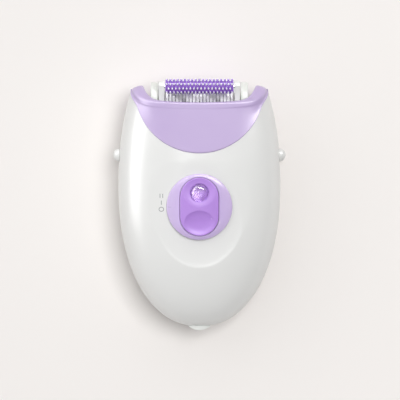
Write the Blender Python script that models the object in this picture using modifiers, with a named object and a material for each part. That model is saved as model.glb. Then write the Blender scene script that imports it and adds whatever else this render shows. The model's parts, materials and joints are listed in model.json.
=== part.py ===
"""Corded palm epilator: an egg-shaped handle with a pull-off tweezer head.

Metres, +Z up. The epilator lies on its back: +Y runs to the head, +Z out of the front face,
and the origin is under the middle of the object, on the face that it rests on.
"""

import math

import bmesh
import bpy
from mathutils import Matrix, Vector

MM = 0.001

# Clearances
GAP = 0.3 * MM
RUN = 0.4 * MM
SEAM_GAP = 0.4 * MM

# Egg-shaped housing
BODY_WIDTH = 68.0 * MM
BODY_DEPTH = 37.0 * MM
REST_CUT = 0.5 * MM
BELLY_Y = 9.0 * MM
TAIL_LENGTH = 59.9 * MM
SHOULDER_LENGTH = 69.0 * MM
NECK_LENGTH = 74.0 * MM
TAIL_POWER = 2.2
TAIL_DEPTH_POWER = 2.4
SHOULDER_POWER = 2.1
NECK_POWER = 2.0
SECTION_POWER = 2.3
WALL = 2.0 * MM
MID_Z = BODY_DEPTH / 2 - REST_CUT

# Thumb dish in the front shell
DISH_Y = -3.0 * MM
DISH_HALF_WIDTH = 18.1 * MM
DISH_HALF_LENGTH = 23.0 * MM
DISH_DEPTH = 0.7 * MM
DISH_CRISP_EDGE = 0.08
DISH_SOFT_EDGE = 0.45
DISH_FLOOR = 0.6 * MM
DISH_RADIUS = 88.0 * MM

# Head collar
BIB_CENTRE_Y = 47.8 * MM
BIB_DROP = 26.2 * MM
BIB_MARGIN = 7.8 * MM
HORN_FLARE = 2.4 * MM
FLARE_START_Y = 40.0 * MM
TONGUE_DEPTH = 1.5 * MM
TONGUE_WALL = 1.0 * MM
RIM_MARGIN = 10.6 * MM
RIM_HALF_DEPTH = 14.2 * MM
RIM_THICKNESS = 1.9 * MM
RIM_Y = 42.3 * MM
RIM_POWER = 3.0
HORN_RISE = 8.2 * MM
HORN_THICKNESS = 4.9 * MM
HORN_SLOPE = 1.3 * MM
HORN_SHARPNESS = 6.5
LINING_SHARES = (1.0, 0.66, 0.33, 0.0)

# Tweezer drum and rollers
DRUM_Y = 43.0 * MM
DRUM_MARGIN = 19.8 * MM
DISC_COUNT = 20
DISC_RADIUS = 8.0 * MM
DISC_HUB_RADIUS = 4.6 * MM
DISC_LOBES = 3
LOBE_FOOT = -0.2
LOBE_CROWN = 0.6
DISC_TWIST = math.radians(12)
SHAFT_RADIUS = 1.5 * MM
ROLLER_Y = 49.0 * MM
ROLLER_OFFSET_Z = 10.4 * MM
ROLLER_RADIUS = 2.6 * MM
NUB_HEIGHT = 0.8 * MM
NUB_ROWS = 8
ROLLER_AXLE_RADIUS = 0.7 * MM

# Head frame
ARM_THICKNESS = 2.2 * MM
ARM_END_RADIUS = 2.1 * MM
ARM_HALF_DEPTH = 10.8 * MM
ARM_VALLEY = 3.0 * MM
FLANGE_THICKNESS = 2.0 * MM
FLANGE_MARGIN = 8.0 * MM
FLANGE_HALF_DEPTH = 14.0 * MM
LEG_THICKNESS = 1.5 * MM
LEG_HALF_WIDTH = 5.0 * MM
LEG_END_Y = 24.4 * MM
WINDOW_HALF_WIDTH = 3.4 * MM
COVER_WALL = 1.0 * MM

# Gear train
MODULE = 0.6 * MM
DRUM_TEETH = 22
DRIVE_TEETH = 24
PINION_TEETH = 14
PRESSURE_ANGLE = math.radians(20)
ADDENDUM = 0.8
DEDENDUM = 1.05
BACKLASH = 0.1 * MM
GEAR_WIDTH = 1.8 * MM
DRIVE_AXLE_RADIUS = 1.0 * MM

# Handle internals
MOTOR_RADIUS = 10.0 * MM
MOTOR_TO_GEAR = 3.0 * MM
MOTOR_CAP_LENGTH = 2.4 * MM
MOTOR_SHAFT_RADIUS = 0.8 * MM
MOTOR_NOSE = 1.0 * MM
MOTOR_NOSE_RADIUS = 3.0 * MM
AXLE_BOSS_RADIUS = 2.2 * MM
PLATE_THICKNESS = 1.6 * MM
PLATE_STEP_Y = 14.0 * MM
RAIL_MARGIN = 11.4 * MM
BOARD_THICKNESS = 1.4 * MM
BOARD_HALF_WIDTH = 13.0 * MM
BOARD_HEAD_Y = 7.0 * MM
BOARD_TAIL_Y = -37.0 * MM
BOARD_RISE = 3.0 * MM
BOARD_CHAMFER = 2.0 * MM
POST_RADIUS = 1.6 * MM
SCREW_Y = -18.0 * MM
SCREW_X = 18.5 * MM
SCREW_RADIUS = 1.0 * MM
SCREW_HEAD_RADIUS = 2.0 * MM
SCREW_HEAD_HEIGHT = 1.2 * MM
SCREW_CROWN_RADIUS = 1.4 * MM
SCREW_LENGTH = 6.0 * MM
SCREW_BOSS_RADIUS = 2.6 * MM

# Release studs and latch leaves
STUD_Y = 20.9 * MM
STUD_PROUD = 2.2 * MM
STUD_RADIUS = 2.7 * MM
STUD_DOME = 2.6 * MM
STUD_TRAVEL = 1.3 * MM
STUD_STEM_RADIUS = 1.8 * MM
STUD_FLANGE_RADIUS = 3.7 * MM
STUD_LENGTH = 7.0 * MM
STUD_FLANGE_LENGTH = 1.2 * MM
SCALLOP_RADIUS = 7.0 * MM
SCALLOP_DEPTH = 0.9 * MM
LEAF_THICKNESS = 0.6 * MM
LEAF_HALF_WIDTH = 3.0 * MM
LEAF_HEAD_Y = 30.0 * MM
HOOK_Y = 27.3 * MM
HOOK_LENGTH = 2.0 * MM
HOOK_DEPTH = 2.0 * MM

# Thumb slide
SLIDE_Y = -0.8 * MM
SLIDE_TRAVEL = 5.4 * MM
SLIDE_TILT = math.radians(1.7)
KNOB_RADIUS = 13.6 * MM
KNOB_THICKNESS = 1.2 * MM
KNOB_EDGE = 0.7 * MM
POD_WIDTH = 16.2 * MM
POD_LENGTH = 24.4 * MM
POD_RISE = 3.1 * MM
POD_CROWN = 0.7 * MM
POD_EDGE = 0.5 * MM
THUMB_Y = -7.4 * MM
THUMB_HALF_WIDTH = 6.4 * MM
THUMB_HALF_LENGTH = 5.4 * MM
THUMB_DEPTH = 1.2 * MM
SCOOP_Y = 6.2 * MM
SCOOP_RADIUS = 7.4 * MM
SCOOP_DEPTH = 1.2 * MM
RECESS_FLOOR = 0.3
POD_SHARES = (1.0, 0.94, 0.8, 0.62, 0.42, 0.2)
LENS_Y = 4.9 * MM
LENS_RADIUS = 3.6 * MM
LENS_SEAT = 0.6 * MM
LENS_COLLAR = 0.6 * MM
LENS_DOME = 2.2 * MM
STEM_WIDTH = 5.0 * MM
STEM_LENGTH = 5.0 * MM
CARRIAGE_WIDTH = 11.0 * MM
CARRIAGE_LENGTH = 9.0 * MM
CARRIAGE_THICKNESS = 1.3 * MM
CARRIAGE_DROP = 1.0 * MM
SWITCH_WIDTH = 8.0 * MM
SWITCH_LENGTH = 11.0 * MM
SWITCH_HEIGHT = 4.4 * MM
SWITCH_EDGE = 0.5 * MM

# Power inlet
SOCKET_WIDTH = 9.2 * MM
SOCKET_HEIGHT = 5.4 * MM
SOCKET_LIP = 1.5 * MM
SOCKET_LENGTH = 10.4 * MM
SOCKET_WALL = 0.85 * MM
SOCKET_RECESS = 7.0 * MM
SOCKET_EDGE = 0.9 * MM
SOCKET_LIP_SHARES = ((0.0, 0.9), (0.3, 0.97), (1.0, 1.0))
SOCKET_POWER = 2.6
PIN_RADIUS = 0.5 * MM
PIN_SPREAD = 3.6 * MM
PIN_REACH = 5.0 * MM

# Facets
SHELL_ROWS = 16
SHELL_COLUMNS = 23
ROW_CROWDING = 1.4
COLLAR_ROWS = 5
PLATE_STATIONS = 9
DISC_STEPS = 8
DOME_STEPS = 5
ARM_END_STEPS = 6
COVER_STEPS = 8
FLANGE_STEPS = 24
KNOB_COLUMNS = 36
ROUND_STEPS = 20
MEDIUM_STEPS = 16
SMALL_STEPS = 12
TINY_STEPS = 8

# Places worked out from the sizes
DISH_FLOOR_Z = MID_Z + BODY_DEPTH / 2 - DISH_FLOOR
BIB_HALF_WIDTH = BODY_WIDTH / 2 - BIB_MARGIN
RIM_HALF_WIDTH = BODY_WIDTH / 2 - RIM_MARGIN
FLANGE_HALF_WIDTH = BODY_WIDTH / 2 - FLANGE_MARGIN
RAIL_HALF_WIDTH = BODY_WIDTH / 2 - RAIL_MARGIN
DRUM_HALF = BODY_WIDTH / 2 - DRUM_MARGIN
DISC_PITCH = 2 * DRUM_HALF / DISC_COUNT
STUD_REACH = BODY_WIDTH / 2 + STUD_PROUD
STUD_FLANGE_X = STUD_REACH - STUD_LENGTH
DRIVE_Y = DRUM_Y - MODULE * (DRUM_TEETH + DRIVE_TEETH) / 2
MOTOR_Y = DRIVE_Y - MODULE * (DRIVE_TEETH + PINION_TEETH) / 2
RAIL_END_Y = DRIVE_Y + AXLE_BOSS_RADIUS
ARM_X = DRUM_HALF + RUN
GEAR_X = ARM_X + ARM_THICKNESS + GAP
MOTOR_HALF = GEAR_X - MOTOR_TO_GEAR
MOTOR_LENGTH = 2 * MOTOR_HALF - GAP - MOTOR_CAP_LENGTH
COVER_X = GEAR_X + GEAR_WIDTH + RUN
FLANGE_TOP_Y = DRUM_Y - DISC_RADIUS - RUN
FLANGE_Y = FLANGE_TOP_Y - FLANGE_THICKNESS
LEG_X = FLANGE_HALF_WIDTH - LEG_THICKNESS
TAIL_Y = BELLY_Y - TAIL_LENGTH
SOCKET_END_Y = TAIL_Y - SOCKET_LIP
PLATE_TAIL_Y = SOCKET_END_Y + SOCKET_LENGTH + RUN
SWITCH_TOP = MID_Z + PLATE_THICKNESS / 2 + BOARD_RISE + BOARD_THICKNESS + GAP + SWITCH_HEIGHT
LEAF_X = RAIL_HALF_WIDTH + GAP
STUD_TIP_X = RAIL_HALF_WIDTH + GAP + STUD_TRAVEL
SLIDE_Z = DISH_FLOOR_Z + GAP

# A curve's own X, Y and Z laid along the world's Y, Z and X
ACROSS = Matrix(((0, 0, 1, 0), (1, 0, 0, 0), (0, 1, 0, 0), (0, 0, 0, 1)))
# A turned piece's axis laid along the world's +X and -X
ALONG_X = Matrix.Rotation(math.pi / 2, 4, "Y")
ALONG_MINUS_X = Matrix.Rotation(-math.pi / 2, 4, "Y")
# A flat piece's own Y stood along the world's Z
UPRIGHT = Matrix.Rotation(math.pi / 2, 4, "X")


# Scene, materials and general helpers


def clear_scene():
    for obj in list(bpy.data.objects):
        bpy.data.objects.remove(obj, do_unlink=True)


def new_collection(name):
    collection = bpy.data.collections.new(name)
    bpy.context.scene.collection.children.link(collection)
    return collection


clear_scene()
PARTS = new_collection("epilator")
CUTTERS = new_collection("epilator_cutters")


def material(name, colour, roughness, metallic=0.0, alpha=1.0):
    made = bpy.data.materials.new(name)
    made.use_nodes = True
    shader = made.node_tree.nodes["Principled BSDF"]
    shader.inputs["Base Color"].default_value = (*colour, 1.0)
    shader.inputs["Roughness"].default_value = roughness
    shader.inputs["Metallic"].default_value = metallic
    shader.inputs["Alpha"].default_value = alpha
    made.diffuse_color = (*colour, 1.0)
    return made


WHITE_GLOSS = material("white_gloss_plastic", (0.86, 0.86, 0.85), 0.22)
WHITE_SATIN = material("white_satin_plastic", (0.80, 0.81, 0.79), 0.40)
LILAC = material("lilac_plastic", (0.58, 0.47, 0.72), 0.30)
PALE_LILAC = material("pale_lilac_plastic", (0.72, 0.62, 0.84), 0.25)
PURPLE = material("purple_plastic", (0.52, 0.32, 0.76), 0.28)
DEEP_PURPLE = material("deep_purple_plastic", (0.20, 0.08, 0.50), 0.35)
CLEAR = material("clear_lens", (0.85, 0.75, 0.95), 0.05, alpha=0.5)
STEEL = material("bright_steel", (0.75, 0.75, 0.76), 0.22, metallic=1.0)
NYLON = material("nylon_gear", (0.82, 0.80, 0.72), 0.5)
GREY = material("grey_moulding", (0.30, 0.30, 0.32), 0.5)
BOARD = material("board_green", (0.05, 0.25, 0.12), 0.5)


def smoothstep(start, end, value):
    share = min(max((value - start) / (end - start), 0.0), 1.0)
    return share * share * (3 - 2 * share)


def mix(first, second, share):
    return first + (second - first) * share


def signed_power(value, power):
    return math.copysign(abs(value) ** power, value)


def finish(obj, finish_material, smooth_angle=40):
    """Give a part its material and its smooth shading."""
    obj.data.materials.append(finish_material)
    if obj.type == "MESH":
        obj.data.shade_smooth()
        obj.data.set_sharp_from_angle(angle=math.radians(smooth_angle))
    return obj


def hide_cutter(obj):
    obj.hide_render = True
    obj.display_type = "WIRE"
    return obj


def cut(target, cutter, operation="DIFFERENCE"):
    modifier = target.modifiers.new(cutter.name, "BOOLEAN")
    modifier.operation = operation
    modifier.solver = "EXACT"
    modifier.object = cutter


def join(target, other):
    cut(target, other, "UNION")


def mesh_object(name, build, collection=PARTS):
    """An object whose mesh is filled by build(bm), with its faces turned outwards."""
    bm = bmesh.new()
    build(bm)
    bmesh.ops.recalc_face_normals(bm, faces=bm.faces)
    mesh = bpy.data.meshes.new(name)
    bm.to_mesh(mesh)
    bm.free()
    obj = bpy.data.objects.new(name, mesh)
    collection.objects.link(obj)
    if collection is CUTTERS:
        hide_cutter(obj)
    return obj


def box(name, low, high, collection=CUTTERS):
    """A box between two corners."""
    low, high = Vector(low), Vector(high)
    size = Matrix.Diagonal((*(high - low), 1.0))
    place = Matrix.Translation((low + high) / 2) @ size
    return mesh_object(name, lambda bm: bmesh.ops.create_cube(bm, size=1.0, matrix=place), collection)


def rod(name, start, end, radius, collection=CUTTERS, steps=SMALL_STEPS):
    """A round bar from start to end."""
    start, end = Vector(start), Vector(end)
    turn = Vector((0, 0, 1)).rotation_difference(end - start).to_matrix().to_4x4()
    place = Matrix.Translation((start + end) / 2) @ turn
    length = (end - start).length

    def build(bm):
        bmesh.ops.create_cone(
            bm, cap_ends=True, segments=steps, radius1=radius, radius2=radius, depth=length, matrix=place
        )

    return mesh_object(name, build, collection)


def turned(name, profile, place, collection=PARTS, steps=ROUND_STEPS):
    """A profile of (radius, height) points, listed top to bottom, turned about its own Z."""
    mesh = bpy.data.meshes.new(name)
    points = [(radius, 0.0, height) for radius, height in profile]
    mesh.from_pydata(points, [(i, i + 1) for i in range(len(points) - 1)], [])
    obj = bpy.data.objects.new(name, mesh)
    collection.objects.link(obj)
    obj.matrix_world = place
    screw = obj.modifiers.new("turn", "SCREW")
    screw.axis = "Z"
    screw.angle = 2 * math.pi
    screw.steps = steps
    screw.render_steps = steps
    screw.use_merge_vertices = True
    screw.merge_threshold = 0.01 * MM
    screw.use_smooth_shade = True
    if collection is CUTTERS:
        hide_cutter(obj)
    return obj


def plate(name, outlines, thickness, place, collection=PARTS):
    """Flat outlines, the first one filled and the others holes, given a thickness about their plane."""
    curve = bpy.data.curves.new(name, "CURVE")
    curve.dimensions = "2D"
    curve.fill_mode = "BOTH"
    curve.extrude = thickness / 2
    for outline in outlines:
        spline = curve.splines.new("POLY")
        spline.points.add(len(outline) - 1)
        spline.use_cyclic_u = True
        for point, (u, v) in zip(spline.points, outline):
            point.co = (u, v, 0.0, 1.0)
    guide = bpy.data.objects.new(name + "_outline", curve)
    collection.objects.link(guide)
    graph = bpy.context.evaluated_depsgraph_get()
    mesh = bpy.data.meshes.new_from_object(guide.evaluated_get(graph))
    bpy.data.objects.remove(guide, do_unlink=True)
    bm = bmesh.new()
    bm.from_mesh(mesh)
    bmesh.ops.remove_doubles(bm, verts=bm.verts, dist=0.001 * MM)
    bmesh.ops.recalc_face_normals(bm, faces=bm.faces)
    bm.to_mesh(mesh)
    bm.free()
    obj = bpy.data.objects.new(name, mesh)
    collection.objects.link(obj)
    obj.matrix_world = place
    if collection is CUTTERS:
        hide_cutter(obj)
    return obj


def ring_solid(name, loops, collection=PARTS):
    """A solid that runs round and closes on itself, through closed loops of equal length."""

    def build(bm):
        rings = [[bm.verts.new(point) for point in loop] for loop in loops]
        for i, ring in enumerate(rings):
            after = rings[(i + 1) % len(rings)]
            for j in range(len(ring)):
                k = (j + 1) % len(ring)
                bm.faces.new((ring[j], ring[k], after[k], after[j]))

    return mesh_object(name, build, collection)


def stacked_solid(name, rings, collection=PARTS):
    """A solid lofted through closed rings of equal length, with a flat face at each end."""

    def build(bm):
        levels = [[bm.verts.new(point) for point in ring] for ring in rings]
        for lower, upper in zip(levels, levels[1:]):
            for j in range(len(lower)):
                k = (j + 1) % len(lower)
                bm.faces.new((lower[j], lower[k], upper[k], upper[j]))
        bm.faces.new(reversed(levels[0]))
        bm.faces.new(levels[-1])

    return mesh_object(name, build, collection)


def thick_sheet(name, outer, inner, collection=PARTS):
    """The wall between two sheets of points with as many rows and columns each."""

    def build(bm):
        sheets = [[[bm.verts.new(point) for point in row] for row in sheet] for sheet in (outer, inner)]
        rows, columns = len(outer), len(outer[0])
        for sheet in sheets:
            for i in range(rows - 1):
                for j in range(columns - 1):
                    corners = (sheet[i][j], sheet[i][j + 1], sheet[i + 1][j + 1], sheet[i + 1][j])
                    bm.faces.new(corners)
        rim = [(i, 0) for i in range(rows)] + [(rows - 1, j) for j in range(1, columns)]
        rim += [(i, columns - 1) for i in range(rows - 2, -1, -1)]
        rim += [(0, j) for j in range(columns - 2, 0, -1)]
        for (i, j), (k, m) in zip(rim, rim[1:] + rim[:1]):
            bm.faces.new((sheets[0][i][j], sheets[0][k][m], sheets[1][k][m], sheets[1][i][j]))

    return mesh_object(name, build, collection)


def pivot(name, place, members):
    """An empty on a joint's axis that carries the pieces that move there."""
    empty = bpy.data.objects.new(name, None)
    empty.location = place
    empty.empty_display_size = 4 * MM
    PARTS.objects.link(empty)
    for member in members:
        member.parent = empty
        member.matrix_parent_inverse = Matrix.Translation(-Vector(place))
    return empty


# Forms of the housing


def half_width(y):
    """Half of the housing's width at a station along its length."""
    if y < BELLY_Y:
        share, power = (BELLY_Y - y) / TAIL_LENGTH, TAIL_POWER
    else:
        share, power = (y - BELLY_Y) / SHOULDER_LENGTH, SHOULDER_POWER
    return BODY_WIDTH / 2 * (1 - min(share, 1.0) ** power) ** (1 / power)


def half_depth(y):
    """Half of the housing's depth at a station along its length."""
    if y < BELLY_Y:
        share, power = (BELLY_Y - y) / TAIL_LENGTH, TAIL_DEPTH_POWER
    else:
        share, power = (y - BELLY_Y) / NECK_LENGTH, NECK_POWER
    return BODY_DEPTH / 2 * (1 - min(share, 1.0) ** power) ** (1 / power)


def body_point(y, angle, inset=0.0):
    """A point of the egg at a station and an angle round it, or that far inside it."""
    across = signed_power(math.cos(angle), 2 / SECTION_POWER)
    out = signed_power(math.sin(angle), 2 / SECTION_POWER)
    x = half_width(y) * (1 - inset / (BODY_WIDTH / 2)) * across
    z = MID_Z + half_depth(y) * (1 - inset / (BODY_DEPTH / 2)) * out
    if y < BELLY_Y:
        y = BELLY_Y - (BELLY_Y - y) * (1 - inset / TAIL_LENGTH)
    return Vector((x, y, z))


def inner_half_width(y):
    """Half of the hollow's width at the mid-plane."""
    if y < BELLY_Y:
        y = BELLY_Y - (BELLY_Y - y) / (1 - WALL / TAIL_LENGTH)
    return half_width(y) * (1 - WALL / (BODY_WIDTH / 2))


def tail_station():
    """Where the shells end, so that the opening between them just takes the power inlet."""
    width = (SOCKET_WIDTH / 2 + RUN) / (BODY_WIDTH / 2 - WALL)
    depth = (SOCKET_HEIGHT / 2 + RUN) / (BODY_DEPTH / 2 - WALL)
    wide_share = (1 - width**TAIL_POWER) ** (1 / TAIL_POWER)
    deep_share = (1 - depth**TAIL_DEPTH_POWER) ** (1 / TAIL_DEPTH_POWER)
    return BELLY_Y - TAIL_LENGTH * min(wide_share, deep_share)


def bib_half_width(y):
    """Half of the collar's width on the front, which is an arc that flares into the horns."""
    drop = (BIB_CENTRE_Y - y) / BIB_DROP
    arc = BIB_HALF_WIDTH * math.sqrt(max(1 - drop**2, 0.0))
    return arc + HORN_FLARE * smoothstep(FLARE_START_Y, BIB_CENTRE_Y, y)


def seam_y(angle):
    """The station of the seam between handle and collar, at an angle round the egg."""
    low, high = BIB_CENTRE_Y - BIB_DROP, BIB_CENTRE_Y + HORN_SLOPE
    for _ in range(40):
        middle = (low + high) / 2
        if abs(body_point(middle, angle).x) > bib_half_width(middle):
            low = middle
        else:
            high = middle
    return low


def slide_floor(x, y):
    """The gently arched, tilted surface that the thumb slide runs over."""
    return DISH_FLOOR_Z + math.tan(SLIDE_TILT) * (y - SLIDE_Y) - x**2 / (2 * DISH_RADIUS)


def dish_share(x, y):
    """The share of the thumb dish's depth at a point: crisp at the tail side, fading at the head side."""
    radius = math.hypot(x / DISH_HALF_WIDTH, (y - DISH_Y) / DISH_HALF_LENGTH)
    towards_head = smoothstep(-DISH_HALF_LENGTH, DISH_HALF_LENGTH, y - DISH_Y)
    return 1 - smoothstep(1 - mix(DISH_CRISP_EDGE, DISH_SOFT_EDGE, towards_head), 1.0, radius)


def front_point(y, angle):
    """A point of the front shell's outside, with the dish pressed into it."""
    point = body_point(y, angle)
    pressed = point.z - DISH_DEPTH * dish_share(point.x, point.y)
    point.z = min(pressed, slide_floor(point.x, point.y))
    return point


# Handle shells


def half_shell(name, first_angle, low_z, high_z, outer_point):
    """Half of the hollow egg, from the tail opening up to the collar's seam."""
    outer, inner = [], []
    tail = tail_station()
    for i in range(SHELL_ROWS):
        share = (i / (SHELL_ROWS - 1)) ** ROW_CROWDING
        outer.append([])
        inner.append([])
        for j in range(SHELL_COLUMNS):
            angle = first_angle + math.pi * j / (SHELL_COLUMNS - 1)
            y = mix(tail, seam_y(angle) - SEAM_GAP, share)
            for sheet, point in ((outer, outer_point(y, angle)), (inner, body_point(y, angle, WALL))):
                point.z = min(max(point.z, low_z), high_z)
                sheet[-1].append(point)
    return thick_sheet(name, outer, inner)


def cut_stud_holes(shell, prefix):
    """The round holes and the shallow scallops for the release studs, half in each shell."""
    reach = STUD_REACH + STUD_DOME
    for side, word in ((-1, "left"), (1, "right")):
        inside = (side * STUD_FLANGE_X, STUD_Y, MID_Z)
        hole = rod(f"{prefix}_hole_{word}", inside, (side * reach, STUD_Y, MID_Z), STUD_RADIUS + GAP)
        cut(shell, hole)
        scallop_x = half_width(STUD_Y) - SCALLOP_DEPTH
        start = (side * scallop_x, STUD_Y, MID_Z)
        cone = turned(
            f"{prefix}_scallop_{word}",
            [(0.0, SCALLOP_RADIUS), (2 * SCALLOP_RADIUS, SCALLOP_RADIUS), (STUD_RADIUS, 0.0), (0.0, 0.0)],
            Matrix.Translation(start) @ (ALONG_X if side > 0 else ALONG_MINUS_X),
            CUTTERS,
        )
        cut(shell, cone)


def build_front_shell():
    top = MID_Z + BODY_DEPTH
    shell = half_shell("front_shell", 0.0, MID_Z + GAP / 2, top, front_point)
    slot_half = STEM_WIDTH / 2 + RUN
    slot_low = (-slot_half, SLIDE_Y - STEM_LENGTH / 2 - RUN, MID_Z + BODY_DEPTH / 4)
    slot_high = (slot_half, SLIDE_Y + STEM_LENGTH / 2 + SLIDE_TRAVEL + RUN, top)
    cut(shell, box("slide_slot", slot_low, slot_high))
    cut_stud_holes(shell, "front_stud")
    return finish(shell, WHITE_GLOSS)


def build_rear_shell():
    shell = half_shell("rear_shell", math.pi, 0.0, MID_Z - GAP / 2, body_point)
    cut_stud_holes(shell, "rear_stud")
    plate_bottom = MID_Z - PLATE_THICKNESS / 2
    for side, word in ((-1, "left"), (1, "right")):
        place = (side * SCREW_X, SCREW_Y)
        foot = (*place, rear_wall_z(*place))
        boss = rod(f"screw_boss_{word}", foot, (*place, plate_bottom - GAP), SCREW_BOSS_RADIUS)
        hole_low = plate_bottom - SCREW_LENGTH - RUN
        hole = rod(f"screw_hole_{word}", (*place, hole_low), (*place, MID_Z), SCREW_RADIUS + GAP)
        join(shell, boss)
        cut(shell, hole)
    return finish(shell, WHITE_GLOSS)


def rear_wall_z(x, y):
    """The height of the middle of the rear wall at a place."""
    half = half_width(y) - WALL / 2
    depth = half_depth(y) - WALL / 2
    return MID_Z - depth * (1 - (abs(x) / half) ** SECTION_POWER) ** (1 / SECTION_POWER)


# Head collar


def rim_points(angle):
    """The outer and the inner edge of the collar's saddle-shaped rim, at an angle round the head."""
    across = signed_power(math.cos(angle), 2 / RIM_POWER)
    out = signed_power(math.sin(angle), 2 / RIM_POWER)
    rise = abs(across) ** HORN_SHARPNESS
    outer_x = (RIM_HALF_WIDTH + HORN_THICKNESS) * across
    outer_z = MID_Z + (RIM_HALF_DEPTH + RIM_THICKNESS) * out
    outer = Vector((outer_x, RIM_Y - GAP + (HORN_RISE - HORN_SLOPE) * rise, outer_z))
    inner = Vector((RIM_HALF_WIDTH * across, RIM_Y + HORN_RISE * rise, MID_Z + RIM_HALF_DEPTH * out))
    return outer, inner


def collar_loop(angle):
    """The collar's section at an angle: outside, rim, inside, and the tongue that enters the handle."""
    low = seam_y(angle)
    rim_outer, rim_inner = rim_points(angle)
    inset = WALL + GAP + TONGUE_WALL
    outer_shift = rim_outer - body_point(rim_outer.y, angle)
    inner_shift = rim_inner - body_point(rim_inner.y, angle, inset)
    ledge = body_point(low, angle, WALL + GAP)
    tongue = Vector((0.0, TONGUE_DEPTH, 0.0))
    loop = []
    for i in range(COLLAR_ROWS):
        share = i / (COLLAR_ROWS - 1)
        loop.append(body_point(mix(low, rim_outer.y, share), angle) + outer_shift * share**2)
    for share in LINING_SHARES:
        y = mix(low - TONGUE_DEPTH, rim_inner.y, share)
        loop.append(body_point(y, angle, inset) + inner_shift * share**2)
    return loop + [ledge - tongue, ledge]


def build_head_collar():
    columns = 2 * (SHELL_COLUMNS - 1)
    loops = [collar_loop(2 * math.pi * j / columns) for j in range(columns)]
    return finish(ring_solid("head_collar", loops), LILAC)


# Gears


def gear_outline(teeth, first_tooth):
    """An involute gear's outline, with one tooth pointing along first_tooth."""
    pitch_radius = MODULE * teeth / 2
    base_radius = pitch_radius * math.cos(PRESSURE_ANGLE)
    tip_radius = gear_tip(teeth)
    root_radius = pitch_radius - DEDENDUM * MODULE
    flank_start = max(base_radius, root_radius)

    def involute(angle):
        return math.tan(angle) - angle

    def half_angle(radius):
        at_pitch = (math.pi * MODULE / 4 - BACKLASH / 2) / pitch_radius
        return at_pitch + involute(PRESSURE_ANGLE) - involute(math.acos(base_radius / radius))

    flank = [(root_radius, half_angle(flank_start))]
    flank += [(radius, half_angle(radius)) for radius in (flank_start, tip_radius)]
    points = []
    for i in range(teeth):
        middle = first_tooth + 2 * math.pi * i / teeth
        tooth = [(radius, middle - angle) for radius, angle in flank]
        tooth += [(radius, middle + angle) for radius, angle in reversed(flank)]
        points += [(radius * math.cos(angle), radius * math.sin(angle)) for radius, angle in tooth]
    return points


def gear_tip(teeth):
    return MODULE * (teeth / 2 + ADDENDUM)


def circle(radius, steps=SMALL_STEPS):
    return [
        (radius * math.cos(2 * math.pi * i / steps), radius * math.sin(2 * math.pi * i / steps))
        for i in range(steps)
    ]


def oval(half_u, half_v, power, steps):
    """A superellipse's outline."""
    points = []
    for i in range(steps):
        angle = 2 * math.pi * i / steps
        u = half_u * signed_power(math.cos(angle), 2 / power)
        points.append((u, half_v * signed_power(math.sin(angle), 2 / power)))
    return points


def across_at(x, y):
    """The place of a flat piece that stands across the handle, centred at a height of the mid-plane."""
    return Matrix.Translation((x, y, MID_Z)) @ ACROSS


def build_gears():
    """The drum gear, the drive gear on its fixed pin, and the motor's pinion with its shaft."""
    middle = GEAR_X + GEAR_WIDTH / 2
    drum_outline = [gear_outline(DRUM_TEETH, math.pi), circle(SHAFT_RADIUS + GAP)]
    drum_gear = plate("drum_gear", drum_outline, GEAR_WIDTH, across_at(middle, DRUM_Y))
    drive_outline = [gear_outline(DRIVE_TEETH, math.pi / DRIVE_TEETH), circle(DRIVE_AXLE_RADIUS + GAP)]
    drive_gear = plate("drive_gear", drive_outline, GEAR_WIDTH, across_at(middle, DRIVE_Y))
    pinion = plate("motor_pinion", [gear_outline(PINION_TEETH, 0.0)], GEAR_WIDTH, across_at(middle, MOTOR_Y))
    shaft_end = GEAR_X + GEAR_WIDTH + GAP / 2
    shaft = rod(
        "pinion_shaft", (MOTOR_HALF + GAP, MOTOR_Y, MID_Z), (shaft_end, MOTOR_Y, MID_Z), MOTOR_SHAFT_RADIUS
    )
    join(pinion, shaft)
    return [finish(gear, NYLON, 30) for gear in (drum_gear, drive_gear, pinion)]


# Tweezer drum and massage rollers


def disc_outline(phase):
    """A tweezer disc's outline: a hub with blunt lobes."""
    points = []
    for i in range(DISC_LOBES * DISC_STEPS):
        angle = 2 * math.pi * i / (DISC_LOBES * DISC_STEPS)
        lobe = smoothstep(LOBE_FOOT, LOBE_CROWN, math.cos(DISC_LOBES * angle))
        radius = mix(DISC_HUB_RADIUS, DISC_RADIUS, lobe)
        points.append((radius * math.cos(angle + phase), radius * math.sin(angle + phase)))
    return points


def build_drum():
    """The drum's shaft and its row of tweezer discs, each turned a little further than the last."""
    left_end = -(ARM_X + ARM_THICKNESS - GAP)
    shaft = rod(
        "drum_shaft",
        (left_end, DRUM_Y, MID_Z),
        (GEAR_X + GEAR_WIDTH, DRUM_Y, MID_Z),
        SHAFT_RADIUS,
        PARTS,
    )
    pieces = [finish(shaft, STEEL)]
    for i in range(DISC_COUNT):
        x = (i + 0.5) * DISC_PITCH - DRUM_HALF
        outline = [disc_outline(DISC_TWIST * i), circle(SHAFT_RADIUS + GAP, TINY_STEPS)]
        disc = plate(f"tweezer_disc_{i + 1:02d}", outline, DISC_PITCH - GAP, across_at(x, DRUM_Y))
        pieces.append(finish(disc, STEEL))
    return pieces


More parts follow.
